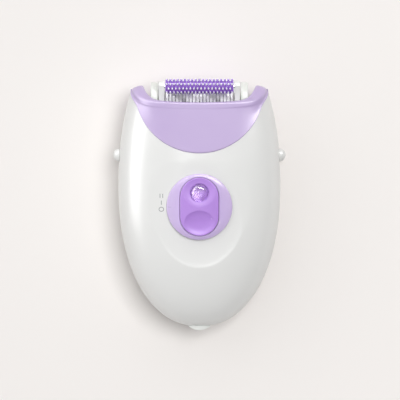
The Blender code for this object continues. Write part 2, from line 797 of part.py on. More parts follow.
def build_roller(name, z):
    """A massage roller: a bored core whose surface rises into staggered rows of pointed nubs."""
    columns = 2 * NUB_ROWS
    stations = 2 * DISC_COUNT
    loops = []
    for j in range(columns):
        angle = 2 * math.pi * j / columns
        loop = []
        for i in range(stations + 1):
            nub = j % 2 == 0 and 0 < i < stations and i % 2 == (j // 2) % 2
            radius = ROLLER_RADIUS + NUB_HEIGHT * nub
            loop.append(((2 * i / stations - 1) * DRUM_HALF, radius))
        bore = ROLLER_AXLE_RADIUS + GAP
        loop += [(DRUM_HALF, bore), (-DRUM_HALF, bore)]
        turn = (math.cos(angle), math.sin(angle))
        loops.append([(x, ROLLER_Y + radius * turn[0], z + radius * turn[1]) for x, radius in loop])
    return finish(ring_solid(name, loops), DEEP_PURPLE, 20)


def build_roller_axle(name, z):
    reach = ARM_X + ARM_THICKNESS - GAP
    return finish(
        rod(name, (-reach, ROLLER_Y, z), (reach, ROLLER_Y, z), ROLLER_AXLE_RADIUS, PARTS, TINY_STEPS), STEEL
    )


# Head frame


def arm_outline():
    """A bearing arm in its own plane, along Y and Z: a stem with a round end for each roller axle."""

    def round_end(z):
        angles = [math.pi * (i / ARM_END_STEPS - 0.5) for i in range(ARM_END_STEPS + 1)]
        return [
            (ROLLER_Y + ARM_END_RADIUS * math.cos(a), z + ARM_END_RADIUS * math.sin(a)) for a in angles
        ]

    root = FLANGE_TOP_Y - FLANGE_THICKNESS / 2
    valley = DRUM_Y + ARM_VALLEY
    inner = ROLLER_OFFSET_Z - 2 * ARM_END_RADIUS
    points = [(root, -ARM_HALF_DEPTH), (valley, -ARM_HALF_DEPTH)]
    points += round_end(-ROLLER_OFFSET_Z)
    points += [(valley, -inner), (valley, inner)]
    points += round_end(ROLLER_OFFSET_Z)
    return points + [(valley, ARM_HALF_DEPTH), (root, ARM_HALF_DEPTH)]


def build_head_frame():
    """The flange, the two bearing arms and the two latch legs, with their holes."""
    flange_outline = oval(FLANGE_HALF_WIDTH, FLANGE_HALF_DEPTH, SECTION_POWER, FLANGE_STEPS)
    flange_place = Matrix.Translation((0.0, FLANGE_TOP_Y - FLANGE_THICKNESS / 2, MID_Z)) @ UPRIGHT
    frame = plate("head_frame", [flange_outline], FLANGE_THICKNESS, flange_place)
    for side, word in ((-1, "left"), (1, "right")):
        arm_x = side * (ARM_X + ARM_THICKNESS / 2)
        join(frame, plate(f"arm_{word}", [arm_outline()], ARM_THICKNESS, across_at(arm_x, 0.0), CUTTERS))
        leg_x = sorted((side * LEG_X, side * (LEG_X + LEG_THICKNESS)))
        leg_low = (leg_x[0], LEG_END_Y, MID_Z - LEG_HALF_WIDTH)
        leg_high = (leg_x[1], FLANGE_TOP_Y - GAP, MID_Z + LEG_HALF_WIDTH)
        join(frame, box(f"leg_{word}", leg_low, leg_high))
        window_low = (leg_x[0] - GAP, HOOK_Y - HOOK_LENGTH / 2 - RUN, MID_Z - WINDOW_HALF_WIDTH)
        window_high = (leg_x[1] + GAP, HOOK_Y + HOOK_LENGTH / 2 + RUN, MID_Z + WINDOW_HALF_WIDTH)
        cut(frame, box(f"latch_window_{word}", window_low, window_high))
    reach = ARM_X + ARM_THICKNESS + GAP / 2
    for word, z in (("front", ROLLER_OFFSET_Z), ("rear", -ROLLER_OFFSET_Z)):
        ends = ((-reach, ROLLER_Y, MID_Z + z), (reach, ROLLER_Y, MID_Z + z))
        cut(frame, rod(f"axle_hole_{word}", *ends, ROLLER_AXLE_RADIUS + GAP, steps=TINY_STEPS))
    ends = ((-reach, DRUM_Y, MID_Z), (reach, DRUM_Y, MID_Z))
    cut(frame, rod("drum_hole", *ends, SHAFT_RADIUS + GAP))
    slot_half = gear_tip(DRIVE_TEETH) + RUN
    slot_low = (GEAR_X - RUN, FLANGE_Y - GAP, MID_Z - slot_half)
    slot_high = (GEAR_X + GEAR_WIDTH + RUN, FLANGE_TOP_Y + GAP, MID_Z + slot_half)
    cut(frame, box("drive_slot", slot_low, slot_high))
    return finish(frame, WHITE_SATIN)


def cover_outline(radius, root):
    """An arch over the drum's axis that stands on the flange, in the plane of Y and Z."""
    arch = [math.pi * (0.5 - i / COVER_STEPS) for i in range(COVER_STEPS + 1)]
    points = [(DRUM_Y + radius * math.cos(a), radius * math.sin(a)) for a in arch]
    return [(root, radius)] + points + [(root, -radius)]


def build_end_cover(side, word):
    """The cover at one end of the drum, open towards the drum and at its foot."""
    inner_radius = gear_tip(DRUM_TEETH) + RUN
    root = FLANGE_TOP_Y + GAP
    start = ARM_X + ARM_THICKNESS + GAP
    width = COVER_X + COVER_WALL - start
    place = across_at(side * (start + width / 2), 0.0)
    cover = plate(f"end_cover_{word}", [cover_outline(inner_radius + COVER_WALL, root)], width, place)
    hollow_place = across_at(side * (COVER_X - width / 2), 0.0)
    hollow_outline = cover_outline(inner_radius, root - GAP)
    hollow = plate(f"cover_hollow_{word}", [hollow_outline], width, hollow_place, CUTTERS)
    cut(cover, hollow)
    return finish(cover, WHITE_SATIN)


# Handle internals


def plate_outline():
    """The chassis plate: as wide as the housing up to its step, then two rails beside the motor."""
    side = []
    for i in range(PLATE_STATIONS):
        y = mix(PLATE_TAIL_Y, PLATE_STEP_Y, i / (PLATE_STATIONS - 1))
        side.append((inner_half_width(y) - RUN, y))
    side += [(RAIL_HALF_WIDTH, PLATE_STEP_Y), (RAIL_HALF_WIDTH, RAIL_END_Y)]
    return side + [(-x, y) for x, y in reversed(side)]


def build_chassis():
    """The frame plate, with the motor's window, the gear slot, the axle bosses and the board's posts."""
    window_x = MOTOR_HALF + RUN
    window_y = MOTOR_RADIUS + RUN
    window = [(u * window_x, MOTOR_Y + v * window_y) for u, v in ((-1, -1), (1, -1), (1, 1), (-1, 1))]
    place = Matrix.Translation((0.0, 0.0, MID_Z))
    chassis = plate("chassis", [plate_outline(), window], PLATE_THICKNESS, place)
    slot_x = (GEAR_X - RUN, GEAR_X + GEAR_WIDTH + RUN)
    for start, end, word in ((window_x, slot_x[0], "inner"), (slot_x[1], RAIL_HALF_WIDTH, "outer")):
        ends = ((start, DRIVE_Y, MID_Z), (end, DRIVE_Y, MID_Z))
        join(chassis, rod(f"axle_boss_{word}", *ends, AXLE_BOSS_RADIUS))
    post_top = MID_Z + PLATE_THICKNESS / 2 + BOARD_RISE - GAP
    for i, (x, y) in enumerate(post_places()):
        ends = ((x, y, MID_Z), (x, y, post_top))
        join(chassis, rod(f"board_post_{i + 1}", *ends, POST_RADIUS, steps=TINY_STEPS))
    deep = MOTOR_RADIUS
    slot_low = (slot_x[0], MOTOR_Y - gear_tip(PINION_TEETH) - RUN, MID_Z - deep)
    cut(chassis, box("gear_slot", slot_low, (slot_x[1], RAIL_END_Y + RUN, MID_Z + deep)))
    notch = MOTOR_SHAFT_RADIUS + RUN
    notch_low = (window_x - GAP, MOTOR_Y - notch, MID_Z - deep)
    cut(chassis, box("shaft_notch", notch_low, (slot_x[0] + GAP, MOTOR_Y + notch, MID_Z + deep)))
    axle_ends = ((window_x - GAP, DRIVE_Y, MID_Z), (RAIL_HALF_WIDTH + GAP, DRIVE_Y, MID_Z))
    cut(chassis, rod("drive_axle_hole", *axle_ends, DRIVE_AXLE_RADIUS + GAP))
    for side, word in ((-1, "left"), (1, "right")):
        ends = ((side * SCREW_X, SCREW_Y, MID_Z - deep), (side * SCREW_X, SCREW_Y, MID_Z + deep))
        cut(chassis, rod(f"plate_hole_{word}", *ends, SCREW_RADIUS + GAP, steps=TINY_STEPS))
    return finish(chassis, GREY)


def post_places():
    x = BOARD_HALF_WIDTH - 2 * POST_RADIUS
    ys = (BOARD_TAIL_Y + 2 * POST_RADIUS, BOARD_HEAD_Y - 3 * POST_RADIUS)
    return [(side * x, y) for side in (-1, 1) for y in ys]


def build_drive_axle():
    ends = ((MOTOR_HALF + RUN + GAP, DRIVE_Y, MID_Z), (RAIL_HALF_WIDTH, DRIVE_Y, MID_Z))
    return finish(rod("drive_axle", *ends, DRIVE_AXLE_RADIUS, PARTS), STEEL)


def build_motor():
    """The motor's can with its turned shoulder and bearing nose, and its end cap."""
    nose = MOTOR_HALF
    shoulder = nose - MOTOR_NOSE
    back = nose - MOTOR_LENGTH
    can_profile = [
        (0.0, nose),
        (MOTOR_NOSE_RADIUS, nose),
        (MOTOR_NOSE_RADIUS, shoulder),
        (MOTOR_RADIUS - MOTOR_NOSE, shoulder),
        (MOTOR_RADIUS, shoulder - MOTOR_NOSE),
        (MOTOR_RADIUS, back),
        (0.0, back),
    ]
    place = Matrix.Translation((0.0, MOTOR_Y, MID_Z)) @ ALONG_X
    can = turned("motor_can", can_profile, place)
    cap_front = back - GAP
    cap_back = cap_front - MOTOR_CAP_LENGTH
    cap_profile = [
        (0.0, cap_front),
        (MOTOR_RADIUS, cap_front),
        (MOTOR_RADIUS, cap_back + MOTOR_NOSE),
        (MOTOR_RADIUS - MOTOR_NOSE, cap_back),
        (0.0, cap_back),
    ]
    cap = turned("motor_end_cap", cap_profile, place)
    return finish(can, STEEL), finish(cap, GREY)


def build_board():
    """The circuit board on its posts and the slide switch on the board."""
    low = MID_Z + PLATE_THICKNESS / 2 + BOARD_RISE
    high = low + BOARD_THICKNESS
    half, chamfer = BOARD_HALF_WIDTH, BOARD_CHAMFER
    side = [(half - chamfer, BOARD_TAIL_Y), (half, BOARD_TAIL_Y + chamfer)]
    side += [(half, BOARD_HEAD_Y - chamfer), (half - chamfer, BOARD_HEAD_Y)]
    outline = side + [(-x, y) for x, y in reversed(side)]
    board = plate("circuit_board", [outline], BOARD_THICKNESS, Matrix.Translation((0, 0, (low + high) / 2)))
    middle = SLIDE_Y + SLIDE_TRAVEL / 2
    block_low = (-SWITCH_WIDTH / 2, middle - SWITCH_LENGTH / 2, high + GAP)
    block_high = (SWITCH_WIDTH / 2, middle + SWITCH_LENGTH / 2, SWITCH_TOP)
    block = box("slide_switch", block_low, block_high, PARTS)
    edge = block.modifiers.new("edge", "BEVEL")
    edge.width = SWITCH_EDGE
    edge.segments = 1
    return finish(board, BOARD), finish(block, GREY)


def build_screw(side, word):
    """A screw through the chassis into the rear shell's boss."""
    head = PLATE_THICKNESS / 2 + GAP
    profile = [
        (0.0, head + SCREW_HEAD_HEIGHT),
        (SCREW_CROWN_RADIUS, head + SCREW_HEAD_HEIGHT),
        (SCREW_HEAD_RADIUS, head + SCREW_HEAD_HEIGHT / 2),
        (SCREW_HEAD_RADIUS, head),
        (SCREW_RADIUS, head),
        (SCREW_RADIUS, -PLATE_THICKNESS / 2 - SCREW_LENGTH),
        (0.0, -PLATE_THICKNESS / 2 - SCREW_LENGTH - SCREW_RADIUS / 4),
    ]
    place = Matrix.Translation((side * SCREW_X, SCREW_Y, MID_Z))
    return finish(turned(f"chassis_screw_{word}", profile, place, steps=SMALL_STEPS), STEEL)


# Release studs and their latch leaves


def build_stud(side, word):
    """A domed stud with a stop flange inside the wall and a stem that reaches to the latch leaf."""
    dome_start = STUD_REACH - STUD_DOME
    flange_end = STUD_FLANGE_X + STUD_FLANGE_LENGTH
    arc = [math.pi / 2 * i / DOME_STEPS for i in range(DOME_STEPS + 1)]
    profile = [(STUD_RADIUS * math.sin(a), dome_start + STUD_DOME * math.cos(a)) for a in arc]
    profile += [
        (STUD_RADIUS, flange_end),
        (STUD_FLANGE_RADIUS, flange_end),
        (STUD_FLANGE_RADIUS, STUD_FLANGE_X),
        (STUD_STEM_RADIUS, STUD_FLANGE_X),
        (STUD_STEM_RADIUS, STUD_TIP_X),
        (0.0, STUD_TIP_X),
    ]
    place = Matrix.Translation((0.0, STUD_Y, MID_Z)) @ (ALONG_X if side > 0 else ALONG_MINUS_X)
    return finish(turned(f"release_button_{word}", profile, place, steps=MEDIUM_STEPS), WHITE_GLOSS)


def build_latch_leaf(side, word):
    """A leaf spring beside the chassis rail, with a hook that reaches into the leg's window."""
    face = LEAF_X + LEAF_THICKNESS
    hook_low, hook_high = HOOK_Y - HOOK_LENGTH / 2, HOOK_Y + HOOK_LENGTH / 2
    outline = [
        (LEAF_X, PLATE_STEP_Y + GAP),
        (face, PLATE_STEP_Y + GAP),
        (face, hook_low),
        (face + HOOK_DEPTH, hook_low),
        (face + HOOK_DEPTH, HOOK_Y),
        (face, hook_high),
        (face, LEAF_HEAD_Y),
        (LEAF_X, LEAF_HEAD_Y),
    ]
    outline = [(side * x, y) for x, y in outline]
    place = Matrix.Translation((0.0, 0.0, MID_Z))
    return finish(plate(f"latch_spring_{word}", [outline], 2 * LEAF_HALF_WIDTH, place), STEEL)


# Thumb slide


def stadium_reach(angle, half_across, half_along):
    """How far a stadium's edge lies from its centre in one direction; its length runs along Y."""
    straight = half_along - half_across
    side = half_across / max(abs(math.cos(angle)), 1e-9)
    if side * abs(math.sin(angle)) <= straight:
        return side
    along = straight * abs(math.sin(angle))
    return along + math.sqrt(along**2 - straight**2 + half_across**2)


def build_knob():
    """The pale disc round the grip, arched like the surface that it slides over."""
    loops = []
    for j in range(KNOB_COLUMNS):
        angle = 2 * math.pi * j / KNOB_COLUMNS
        inner = stadium_reach(angle, POD_WIDTH / 2 + GAP, POD_LENGTH / 2 + GAP)
        lip = max(KNOB_RADIUS - KNOB_EDGE, (inner + KNOB_RADIUS) / 2)
        section = [(inner, 0.0), (inner, KNOB_THICKNESS), (lip, KNOB_THICKNESS)]
        section += [(KNOB_RADIUS, KNOB_THICKNESS / 2), (KNOB_RADIUS - KNOB_EDGE / 4, 0.0)]
        loop = []
        for reach, height in section:
            x, y = reach * math.cos(angle), SLIDE_Y + reach * math.sin(angle)
            loop.append((x, y, slide_floor(x, y) + GAP + height))
        loops.append(loop)
    return finish(ring_solid("switch_knob", loops), PALE_LILAC)


def pod_height(x, y, share):
    """The height of the grip's top over the slide's floor: crowned, with a thumb recess and a lens scoop."""
    thumb = math.hypot(x / THUMB_HALF_WIDTH, (y - THUMB_Y) / THUMB_HALF_LENGTH)
    scoop = math.hypot(x, y - SCOOP_Y) / SCOOP_RADIUS
    height = POD_RISE - POD_CROWN * share**2
    height -= THUMB_DEPTH * (1 - smoothstep(RECESS_FLOOR, 1.0, thumb))
    return height - SCOOP_DEPTH * (1 - smoothstep(RECESS_FLOOR, 1.0, scoop))


def build_pod():
    """The purple grip, a stadium-shaped block in the disc's opening."""
    rings = []
    for share in (None, *POD_SHARES):
        ring = []
        for j in range(KNOB_COLUMNS):
            angle = 2 * math.pi * j / KNOB_COLUMNS
            reach = stadium_reach(angle, POD_WIDTH / 2, POD_LENGTH / 2) * (share or 1.0)
            x, y = reach * math.cos(angle), SLIDE_Y + reach * math.sin(angle)
            height = pod_height(x, y, share) if share else 0.0
            if share == 1.0:
                height -= POD_EDGE
            ring.append((x, y, slide_floor(x, y) + GAP + height))
        rings.append(ring)
    pod = stacked_solid("switch_pod", rings)
    hole_ends = ((0.0, LENS_Y, SLIDE_Z + LENS_SEAT), (0.0, LENS_Y, SLIDE_Z + 3 * POD_RISE))
    cut(pod, rod("lens_hole", *hole_ends, LENS_RADIUS + GAP, steps=MEDIUM_STEPS))
    return finish(pod, PURPLE)


def build_lens():
    """The clear bead in the grip's scoop."""
    arc = [math.pi / 2 * i / DOME_STEPS for i in range(DOME_STEPS + 1)]
    profile = [(LENS_RADIUS * math.sin(a), LENS_COLLAR + LENS_DOME * math.cos(a)) for a in arc]
    profile += [(LENS_RADIUS, 0.0), (0.0, 0.0)]
    place = Matrix.Translation((0.0, LENS_Y, SLIDE_Z + LENS_SEAT + GAP))
    return finish(turned("switch_lens", profile, place, steps=MEDIUM_STEPS), CLEAR)


def build_carriage():
    """The carriage: a stem through the slot, a plate that runs under the shell, and a foot on the switch."""
    top = slide_floor(POD_WIDTH / 2, SLIDE_Y - STEM_LENGTH / 2)
    half = (STEM_WIDTH / 2, STEM_LENGTH / 2)
    stem = box(
        "switch_carriage",
        (-half[0], SLIDE_Y - half[1], SWITCH_TOP + GAP),
        (half[0], SLIDE_Y + half[1], top),
        PARTS,
    )
    plate_top = MID_Z + BODY_DEPTH / 2 - WALL - CARRIAGE_DROP
    low = (-CARRIAGE_WIDTH / 2, SLIDE_Y - CARRIAGE_LENGTH / 2, plate_top - CARRIAGE_THICKNESS)
    high = (CARRIAGE_WIDTH / 2, SLIDE_Y + CARRIAGE_LENGTH / 2, plate_top)
    join(stem, box("carriage_plate", low, high))
    return finish(stem, GREY)


# Power inlet


def socket_ring(y, share, inset=0.0):
    half = (SOCKET_WIDTH / 2 - inset, SOCKET_HEIGHT / 2 - inset)
    return [(share * u, y, MID_Z + share * v) for u, v in oval(*half, SOCKET_POWER, ROUND_STEPS)]


def build_socket():
    """The oval inlet with its rounded lip, its recess and the holes of its two pins."""
    back = SOCKET_END_Y + SOCKET_LENGTH
    rings = [socket_ring(SOCKET_END_Y + SOCKET_EDGE * y, share) for y, share in SOCKET_LIP_SHARES]
    socket = stacked_solid("power_socket", rings + [socket_ring(back, 1.0)])
    floor = SOCKET_END_Y + SOCKET_RECESS
    ends = (SOCKET_END_Y - GAP, floor)
    recess = stacked_solid("socket_recess", [socket_ring(y, 1.0, SOCKET_WALL) for y in ends], CUTTERS)
    cut(socket, recess)
    pins = []
    for side, word in ((-1, "left"), (1, "right")):
        x = side * PIN_SPREAD / 2
        hole_ends = ((x, floor - GAP, MID_Z), (x, back + GAP, MID_Z))
        cut(socket, rod(f"pin_hole_{word}", *hole_ends, PIN_RADIUS + GAP, steps=TINY_STEPS))
        pin_ends = ((x, floor - PIN_REACH, MID_Z), (x, back, MID_Z))
        pin = rod(f"socket_pin_{word}", *pin_ends, PIN_RADIUS, PARTS, TINY_STEPS)
        pins.append(finish(pin, STEEL))
    return finish(socket, WHITE_SATIN), pins


# Assembly


def main():
    build_front_shell()
    build_rear_shell()
    build_chassis()
    build_motor()
    build_board()
    build_drive_axle()
    build_socket()
    sides = ((-1, "left"), (1, "right"))
    for side, word in sides:
        build_screw(side, word)
        build_latch_leaf(side, word)
        stud = build_stud(side, word)
        pivot(f"release_{word}_axis", (side * STUD_REACH, STUD_Y, MID_Z), [stud])
    slide = [build_knob(), build_pod(), build_lens(), build_carriage()]
    pivot("switch_axis", (0.0, SLIDE_Y, SLIDE_Z), slide)
    drum_gear, drive_gear, pinion = build_gears()
    drum = pivot("drum_axis", (0.0, DRUM_Y, MID_Z), build_drum() + [drum_gear])
    pivot("drive_gear_axis", (GEAR_X, DRIVE_Y, MID_Z), [drive_gear])
    pivot("motor_axis", (MOTOR_HALF, MOTOR_Y, MID_Z), [pinion])
    head = [build_head_collar(), build_head_frame()]
    head += [build_end_cover(side, word) for side, word in sides]
    turning = [drum]
    for word, offset in (("front", ROLLER_OFFSET_Z), ("rear", -ROLLER_OFFSET_Z)):
        z = MID_Z + offset
        head.append(build_roller_axle(f"roller_axle_{word}", z))
        roller = build_roller(f"massage_roller_{word}", z)
        turning.append(pivot(f"roller_{word}_axis", (0.0, ROLLER_Y, z), [roller]))
    pivot("head_axis", (0.0, FLANGE_Y, MID_Z), head + turning)


main()
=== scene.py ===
"""Looks of the palm epilator: fine shells, head and thumb slide, their finishes, and the studio.

Metres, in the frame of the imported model: +Y runs to the head and +Z out of the front face.
"""

from __future__ import annotations

import json
import logging
import math
from dataclasses import dataclass, field
from enum import Enum
from typing import Any, Callable, Sequence, Union

import bmesh
import bpy
from mathutils import Matrix, Vector

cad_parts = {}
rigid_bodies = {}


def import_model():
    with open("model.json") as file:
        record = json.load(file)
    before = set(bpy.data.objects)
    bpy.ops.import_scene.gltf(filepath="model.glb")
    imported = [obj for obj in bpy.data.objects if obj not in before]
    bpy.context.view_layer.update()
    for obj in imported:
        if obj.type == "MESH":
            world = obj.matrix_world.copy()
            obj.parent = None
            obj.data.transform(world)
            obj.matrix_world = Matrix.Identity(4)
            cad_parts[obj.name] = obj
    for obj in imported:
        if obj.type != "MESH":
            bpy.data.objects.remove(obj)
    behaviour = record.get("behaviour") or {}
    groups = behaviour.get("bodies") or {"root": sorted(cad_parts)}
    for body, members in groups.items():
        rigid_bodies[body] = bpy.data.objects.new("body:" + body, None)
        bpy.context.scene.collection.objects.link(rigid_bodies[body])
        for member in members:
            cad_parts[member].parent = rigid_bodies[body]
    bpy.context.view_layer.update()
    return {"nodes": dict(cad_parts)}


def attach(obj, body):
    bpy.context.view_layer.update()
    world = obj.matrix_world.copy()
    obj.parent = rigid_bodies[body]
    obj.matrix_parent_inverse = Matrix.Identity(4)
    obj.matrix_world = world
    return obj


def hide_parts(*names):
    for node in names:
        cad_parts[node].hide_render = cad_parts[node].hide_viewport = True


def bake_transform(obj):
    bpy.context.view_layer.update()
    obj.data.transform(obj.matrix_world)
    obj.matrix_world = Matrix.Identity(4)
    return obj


for startup_object in list(bpy.data.objects):
    bpy.data.objects.remove(startup_object, do_unlink=True)
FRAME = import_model()

LOG = logging.getLogger("epilator")
MM = 0.001

Colour = tuple[float, float, float]
Point = Union[Vector, tuple[float, float, float]]
Number = Union["Wire", float]


# Shaders


class Wire:
    """A node's output, on which arithmetic adds Math nodes to the shader."""

    def __init__(self, shader: Shader, socket: bpy.types.NodeSocket) -> None:
        """Keep the shader and the socket that the wire leaves."""
        self.shader = shader
        self.socket = socket

    def _math(self, operation: str, first: Number, second: Number) -> Wire:
        """Add one Math node.

        Args:
            operation: The Math node's operation.
            first: Its first value.
            second: Its second value.

        Returns:
            The result's wire.
        """
        return self.shader.node("ShaderNodeMath", {"operation": operation}, {0: first, 1: second})

    def __add__(self, other: Number) -> Wire:
        """This value plus another."""
        return self._math("ADD", self, other)

    def __radd__(self, other: Number) -> Wire:
        """Another value plus this one."""
        return self._math("ADD", other, self)

    def __sub__(self, other: Number) -> Wire:
        """This value minus another."""
        return self._math("SUBTRACT", self, other)

    def __rsub__(self, other: Number) -> Wire:
        """Another value minus this one."""
        return self._math("SUBTRACT", other, self)

    def __mul__(self, other: Number) -> Wire:
        """This value times another."""
        return self._math("MULTIPLY", self, other)

    def __rmul__(self, other: Number) -> Wire:
        """Another value times this one."""
        return self._math("MULTIPLY", other, self)


class Shader:
    """The nodes of one material or of the world, with the shader at their end."""

    def __init__(self, name: str, world: bool = False) -> None:
        """Start a material, or the world, with this name."""
        self.owner = (bpy.data.worlds if world else bpy.data.materials).new(name)
        self.owner.use_nodes = True
        self.tree = self.owner.node_tree
        self.surface = self.tree.nodes["Background" if world else "Principled BSDF"]

    def feed(self, socket: bpy.types.NodeSocket, value: Any) -> None:
        """Link a wire to a socket, or set the socket's own value.

        Args:
            socket: The input.
            value: A wire, or the value itself.
        """
        if isinstance(value, Wire):
            self.tree.links.new(value.socket, socket)
        else:
            socket.default_value = value

    def node(
        self,
        kind: str,
        settings: dict[str, Any] | None = None,
        inputs: dict[Any, Any] | None = None,
        output: int | str = 0,
    ) -> Wire:
        """Add any node.

        Args:
            kind: The node's type.
            settings: Its own settings, which are set first.
            inputs: Wires or values of its sockets.
            output: The output to return.

        Returns:
            That output's wire.
        """
        made = self.tree.nodes.new(kind)
        for key, value in (settings or {}).items():
            setattr(made, key, value)
        for key, value in (inputs or {}).items():
            self.feed(made.inputs[key], value)
        return Wire(self, made.outputs[output])

    def blend(self, share: Number, first: Colour | Wire, second: Colour | Wire) -> Wire:
        """Mix two colours.

        Args:
            share: The second colour's share.
            first: The colour at share 0.
            second: The colour at share 1.

        Returns:
            The mixed colour's wire.
        """
        ends = [end if isinstance(end, Wire) else (*end, 1.0) for end in (first, second)]
        return self.node("ShaderNodeMix", {"data_type": "RGBA"}, {0: share, 6: ends[0], 7: ends[1]}, 2)

    def noise(self, size: float, detail: float = 2.0, stretch: Point = (1.0, 1.0, 1.0)) -> Wire:
        """Cloudy variation that stays on the piece.

        Args:
            size: The size of its features, in metres.
            detail: How many finer layers it has.
            stretch: How much the pattern is pressed together along X, Y and Z.

        Returns:
            A value from 0 to 1.
        """
        where = self.node("ShaderNodeTexCoord", output="Object")
        where = self.node("ShaderNodeMapping", {"vector_type": "POINT"}, {"Vector": where, "Scale": stretch})
        return self.node("ShaderNodeTexNoise", None, {"Vector": where, "Scale": 1 / size, "Detail": detail})

    def bump(self, height: Wire, depth: float, strength: float) -> Wire:
        """A bump from a height.

        Args:
            height: The height, from 0 to 1.
            depth: How deep a height of 1 is, in metres.
            strength: How strongly it shows.

        Returns:
            The normal's wire.
        """
        return self.node("ShaderNodeBump", None, {"Strength": strength, "Distance": depth, "Height": height})

    def close(self, values: dict[str, Any]) -> Any:
        """Feed the shader at the end.

        Args:
            values: Wires or values by socket name.

        Returns:
            The finished material or world.
        """
        for name, value in values.items():
            self.feed(self.surface.inputs[name], value)
        return self.owner


# Finishes


CLOUD_DETAIL = 3.0
FINE_DETAIL = 4.0


class Grain(Enum):
    """How a moulded surface left its tool: grain size, grain depth and strength of its bump."""

    POLISHED = (0.9 * MM, 0.010 * MM, 0.25)
    SATIN = (0.22 * MM, 0.012 * MM, 0.35)
    ETCHED = (0.12 * MM, 0.015 * MM, 0.5)


@dataclass(frozen=True)
class MouldedPlastic:
    """Coloured plastic with faint flow clouds, a tool grain, slightly uneven gloss, and pointed edges
    painted lighter, partly as wear and partly as a painted highlight.
    """

    name: str
    colour: Colour
    shade: Colour
    roughness: float
    grain: Grain
    coat: float = 0.0
    translucency: float = 0.0
    glow_depth: float = 1.5 * MM
    cloud_size: float = 9.0 * MM
    wear: float = 0.6
    wear_from: float = 0.53
    wear_span: float = 0.11
    wear_patch: float = 1.6 * MM
    wear_dulling: float = 0.12
    rub: float = 0.4
    gloss_patch: float = 2.5 * MM
    gloss_base: float = 0.85
    gloss_spread: float = 0.3
    coat_roughness: float = 0.2
    glow_spread: Colour = (1.0, 0.9, 1.0)

    def make(self) -> bpy.types.Material:
        """The material, ready to assign."""
        shader = Shader(self.name)
        size, depth, strength = self.grain.value
        grain = shader.noise(size)
        cloud = shader.noise(self.cloud_size, CLOUD_DETAIL)
        # Pointed edges and tips are painted lighter towards white: partly edge wear, partly a painted
        # highlight.
        edge = shader.node("ShaderNodeNewGeometry", output="Pointiness")
        full = self.wear_from + self.wear_span
        edge = shader.node("ShaderNodeMapRange", None, {0: edge, 1: self.wear_from, 2: full})
        wear_and_highlight_mask = edge * shader.noise(self.wear_patch, FINE_DETAIL) * self.wear
        rubbed_and_highlight_colour: Colour = tuple(mix(value, 1.0, self.rub) for value in self.colour)
        tint = shader.blend(cloud, self.shade, self.colour)
        gloss = self.gloss_base + self.gloss_spread * shader.noise(self.gloss_patch, FINE_DETAIL)
        return shader.close(
            {
                "Base Color": shader.blend(wear_and_highlight_mask, tint, rubbed_and_highlight_colour),
                "Roughness": self.roughness * gloss + self.wear_dulling * wear_and_highlight_mask,
                "Normal": shader.bump(grain, depth, strength),
                "Coat Weight": self.coat,
                "Coat Roughness": self.coat_roughness,
                "Subsurface Weight": self.translucency,
                "Subsurface Radius": self.glow_spread,
                "Subsurface Scale": self.glow_depth,
            }
        )


@dataclass(frozen=True)
class DrawnSteel:
    """Bright steel with fine drawing lines along one axis and darker smears."""

    name: str
    colour: Colour
    shade: Colour
    roughness: float
    lines: tuple[float, float, float]
    metal: float = 1.0
    line_size: float = 0.9 * MM
    line_depth: float = 0.01 * MM
    line_strength: float = 0.3
    line_dulling: float = 0.12
    smear_size: float = 3.0 * MM
    smear_dulling: float = 0.1

    def make(self) -> bpy.types.Material:
        """The material, ready to assign."""
        shader = Shader(self.name)
        line = shader.noise(self.line_size, CLOUD_DETAIL, self.lines)
        smear = shader.noise(self.smear_size, CLOUD_DETAIL)
        dulling = self.line_dulling * (line - 0.5) + self.smear_dulling * (smear - 0.5)
        return shader.close(
            {
                "Base Color": shader.blend(smear * line, self.shade, self.colour),
                "Metallic": self.metal,
                "Roughness": self.roughness + dulling,
                "Normal": shader.bump(line, self.line_depth, self.line_strength),
            }
        )


@dataclass(frozen=True)
class ClearResin:
    """Clear moulded plastic with a faint tint and a few flow marks."""

    name: str
    colour: Colour
    shade: Colour
    index: float = 1.43
    clarity: float = 0.9
    roughness: float = 0.11
    flow_size: float = 1.8 * MM
    flow_depth: float = 0.02 * MM
    flow_strength: float = 0.2
    flow_dulling: float = 0.04
    coat: float = 1.0
    coat_roughness: float = 0.1

    def make(self) -> bpy.types.Material:
        """The material, ready to assign."""
        shader = Shader(self.name)
        flow = shader.noise(self.flow_size)
        return shader.close(
            {
                "Base Color": shader.blend(flow, self.shade, self.colour),
                "Roughness": self.roughness + self.flow_dulling * flow,
                "Normal": shader.bump(flow, self.flow_depth, self.flow_strength),
                "Transmission Weight": self.clarity,
                "IOR": self.index,
                "Coat Weight": self.coat,
                "Coat Roughness": self.coat_roughness,
            }
        )


@dataclass(frozen=True)
class PrintedInk:
    """Thin pad-printed ink, a little uneven where the pad lifted."""

    name: str
    colour: Colour
    shade: Colour
    roughness: float = 0.35
    patch_size: float = 0.35 * MM
    patch_depth: float = 0.004 * MM
    patch_strength: float = 0.3
    patch_dulling: float = 0.2

    def make(self) -> bpy.types.Material:
        """The material, ready to assign."""
        shader = Shader(self.name)
        patch = shader.noise(self.patch_size, CLOUD_DETAIL)
        return shader.close(
            {
                "Base Color": shader.blend(patch, self.shade, self.colour),
                "Roughness": self.roughness + self.patch_dulling * patch,
                "Normal": shader.bump(patch, self.patch_depth, self.patch_strength),
            }
        )


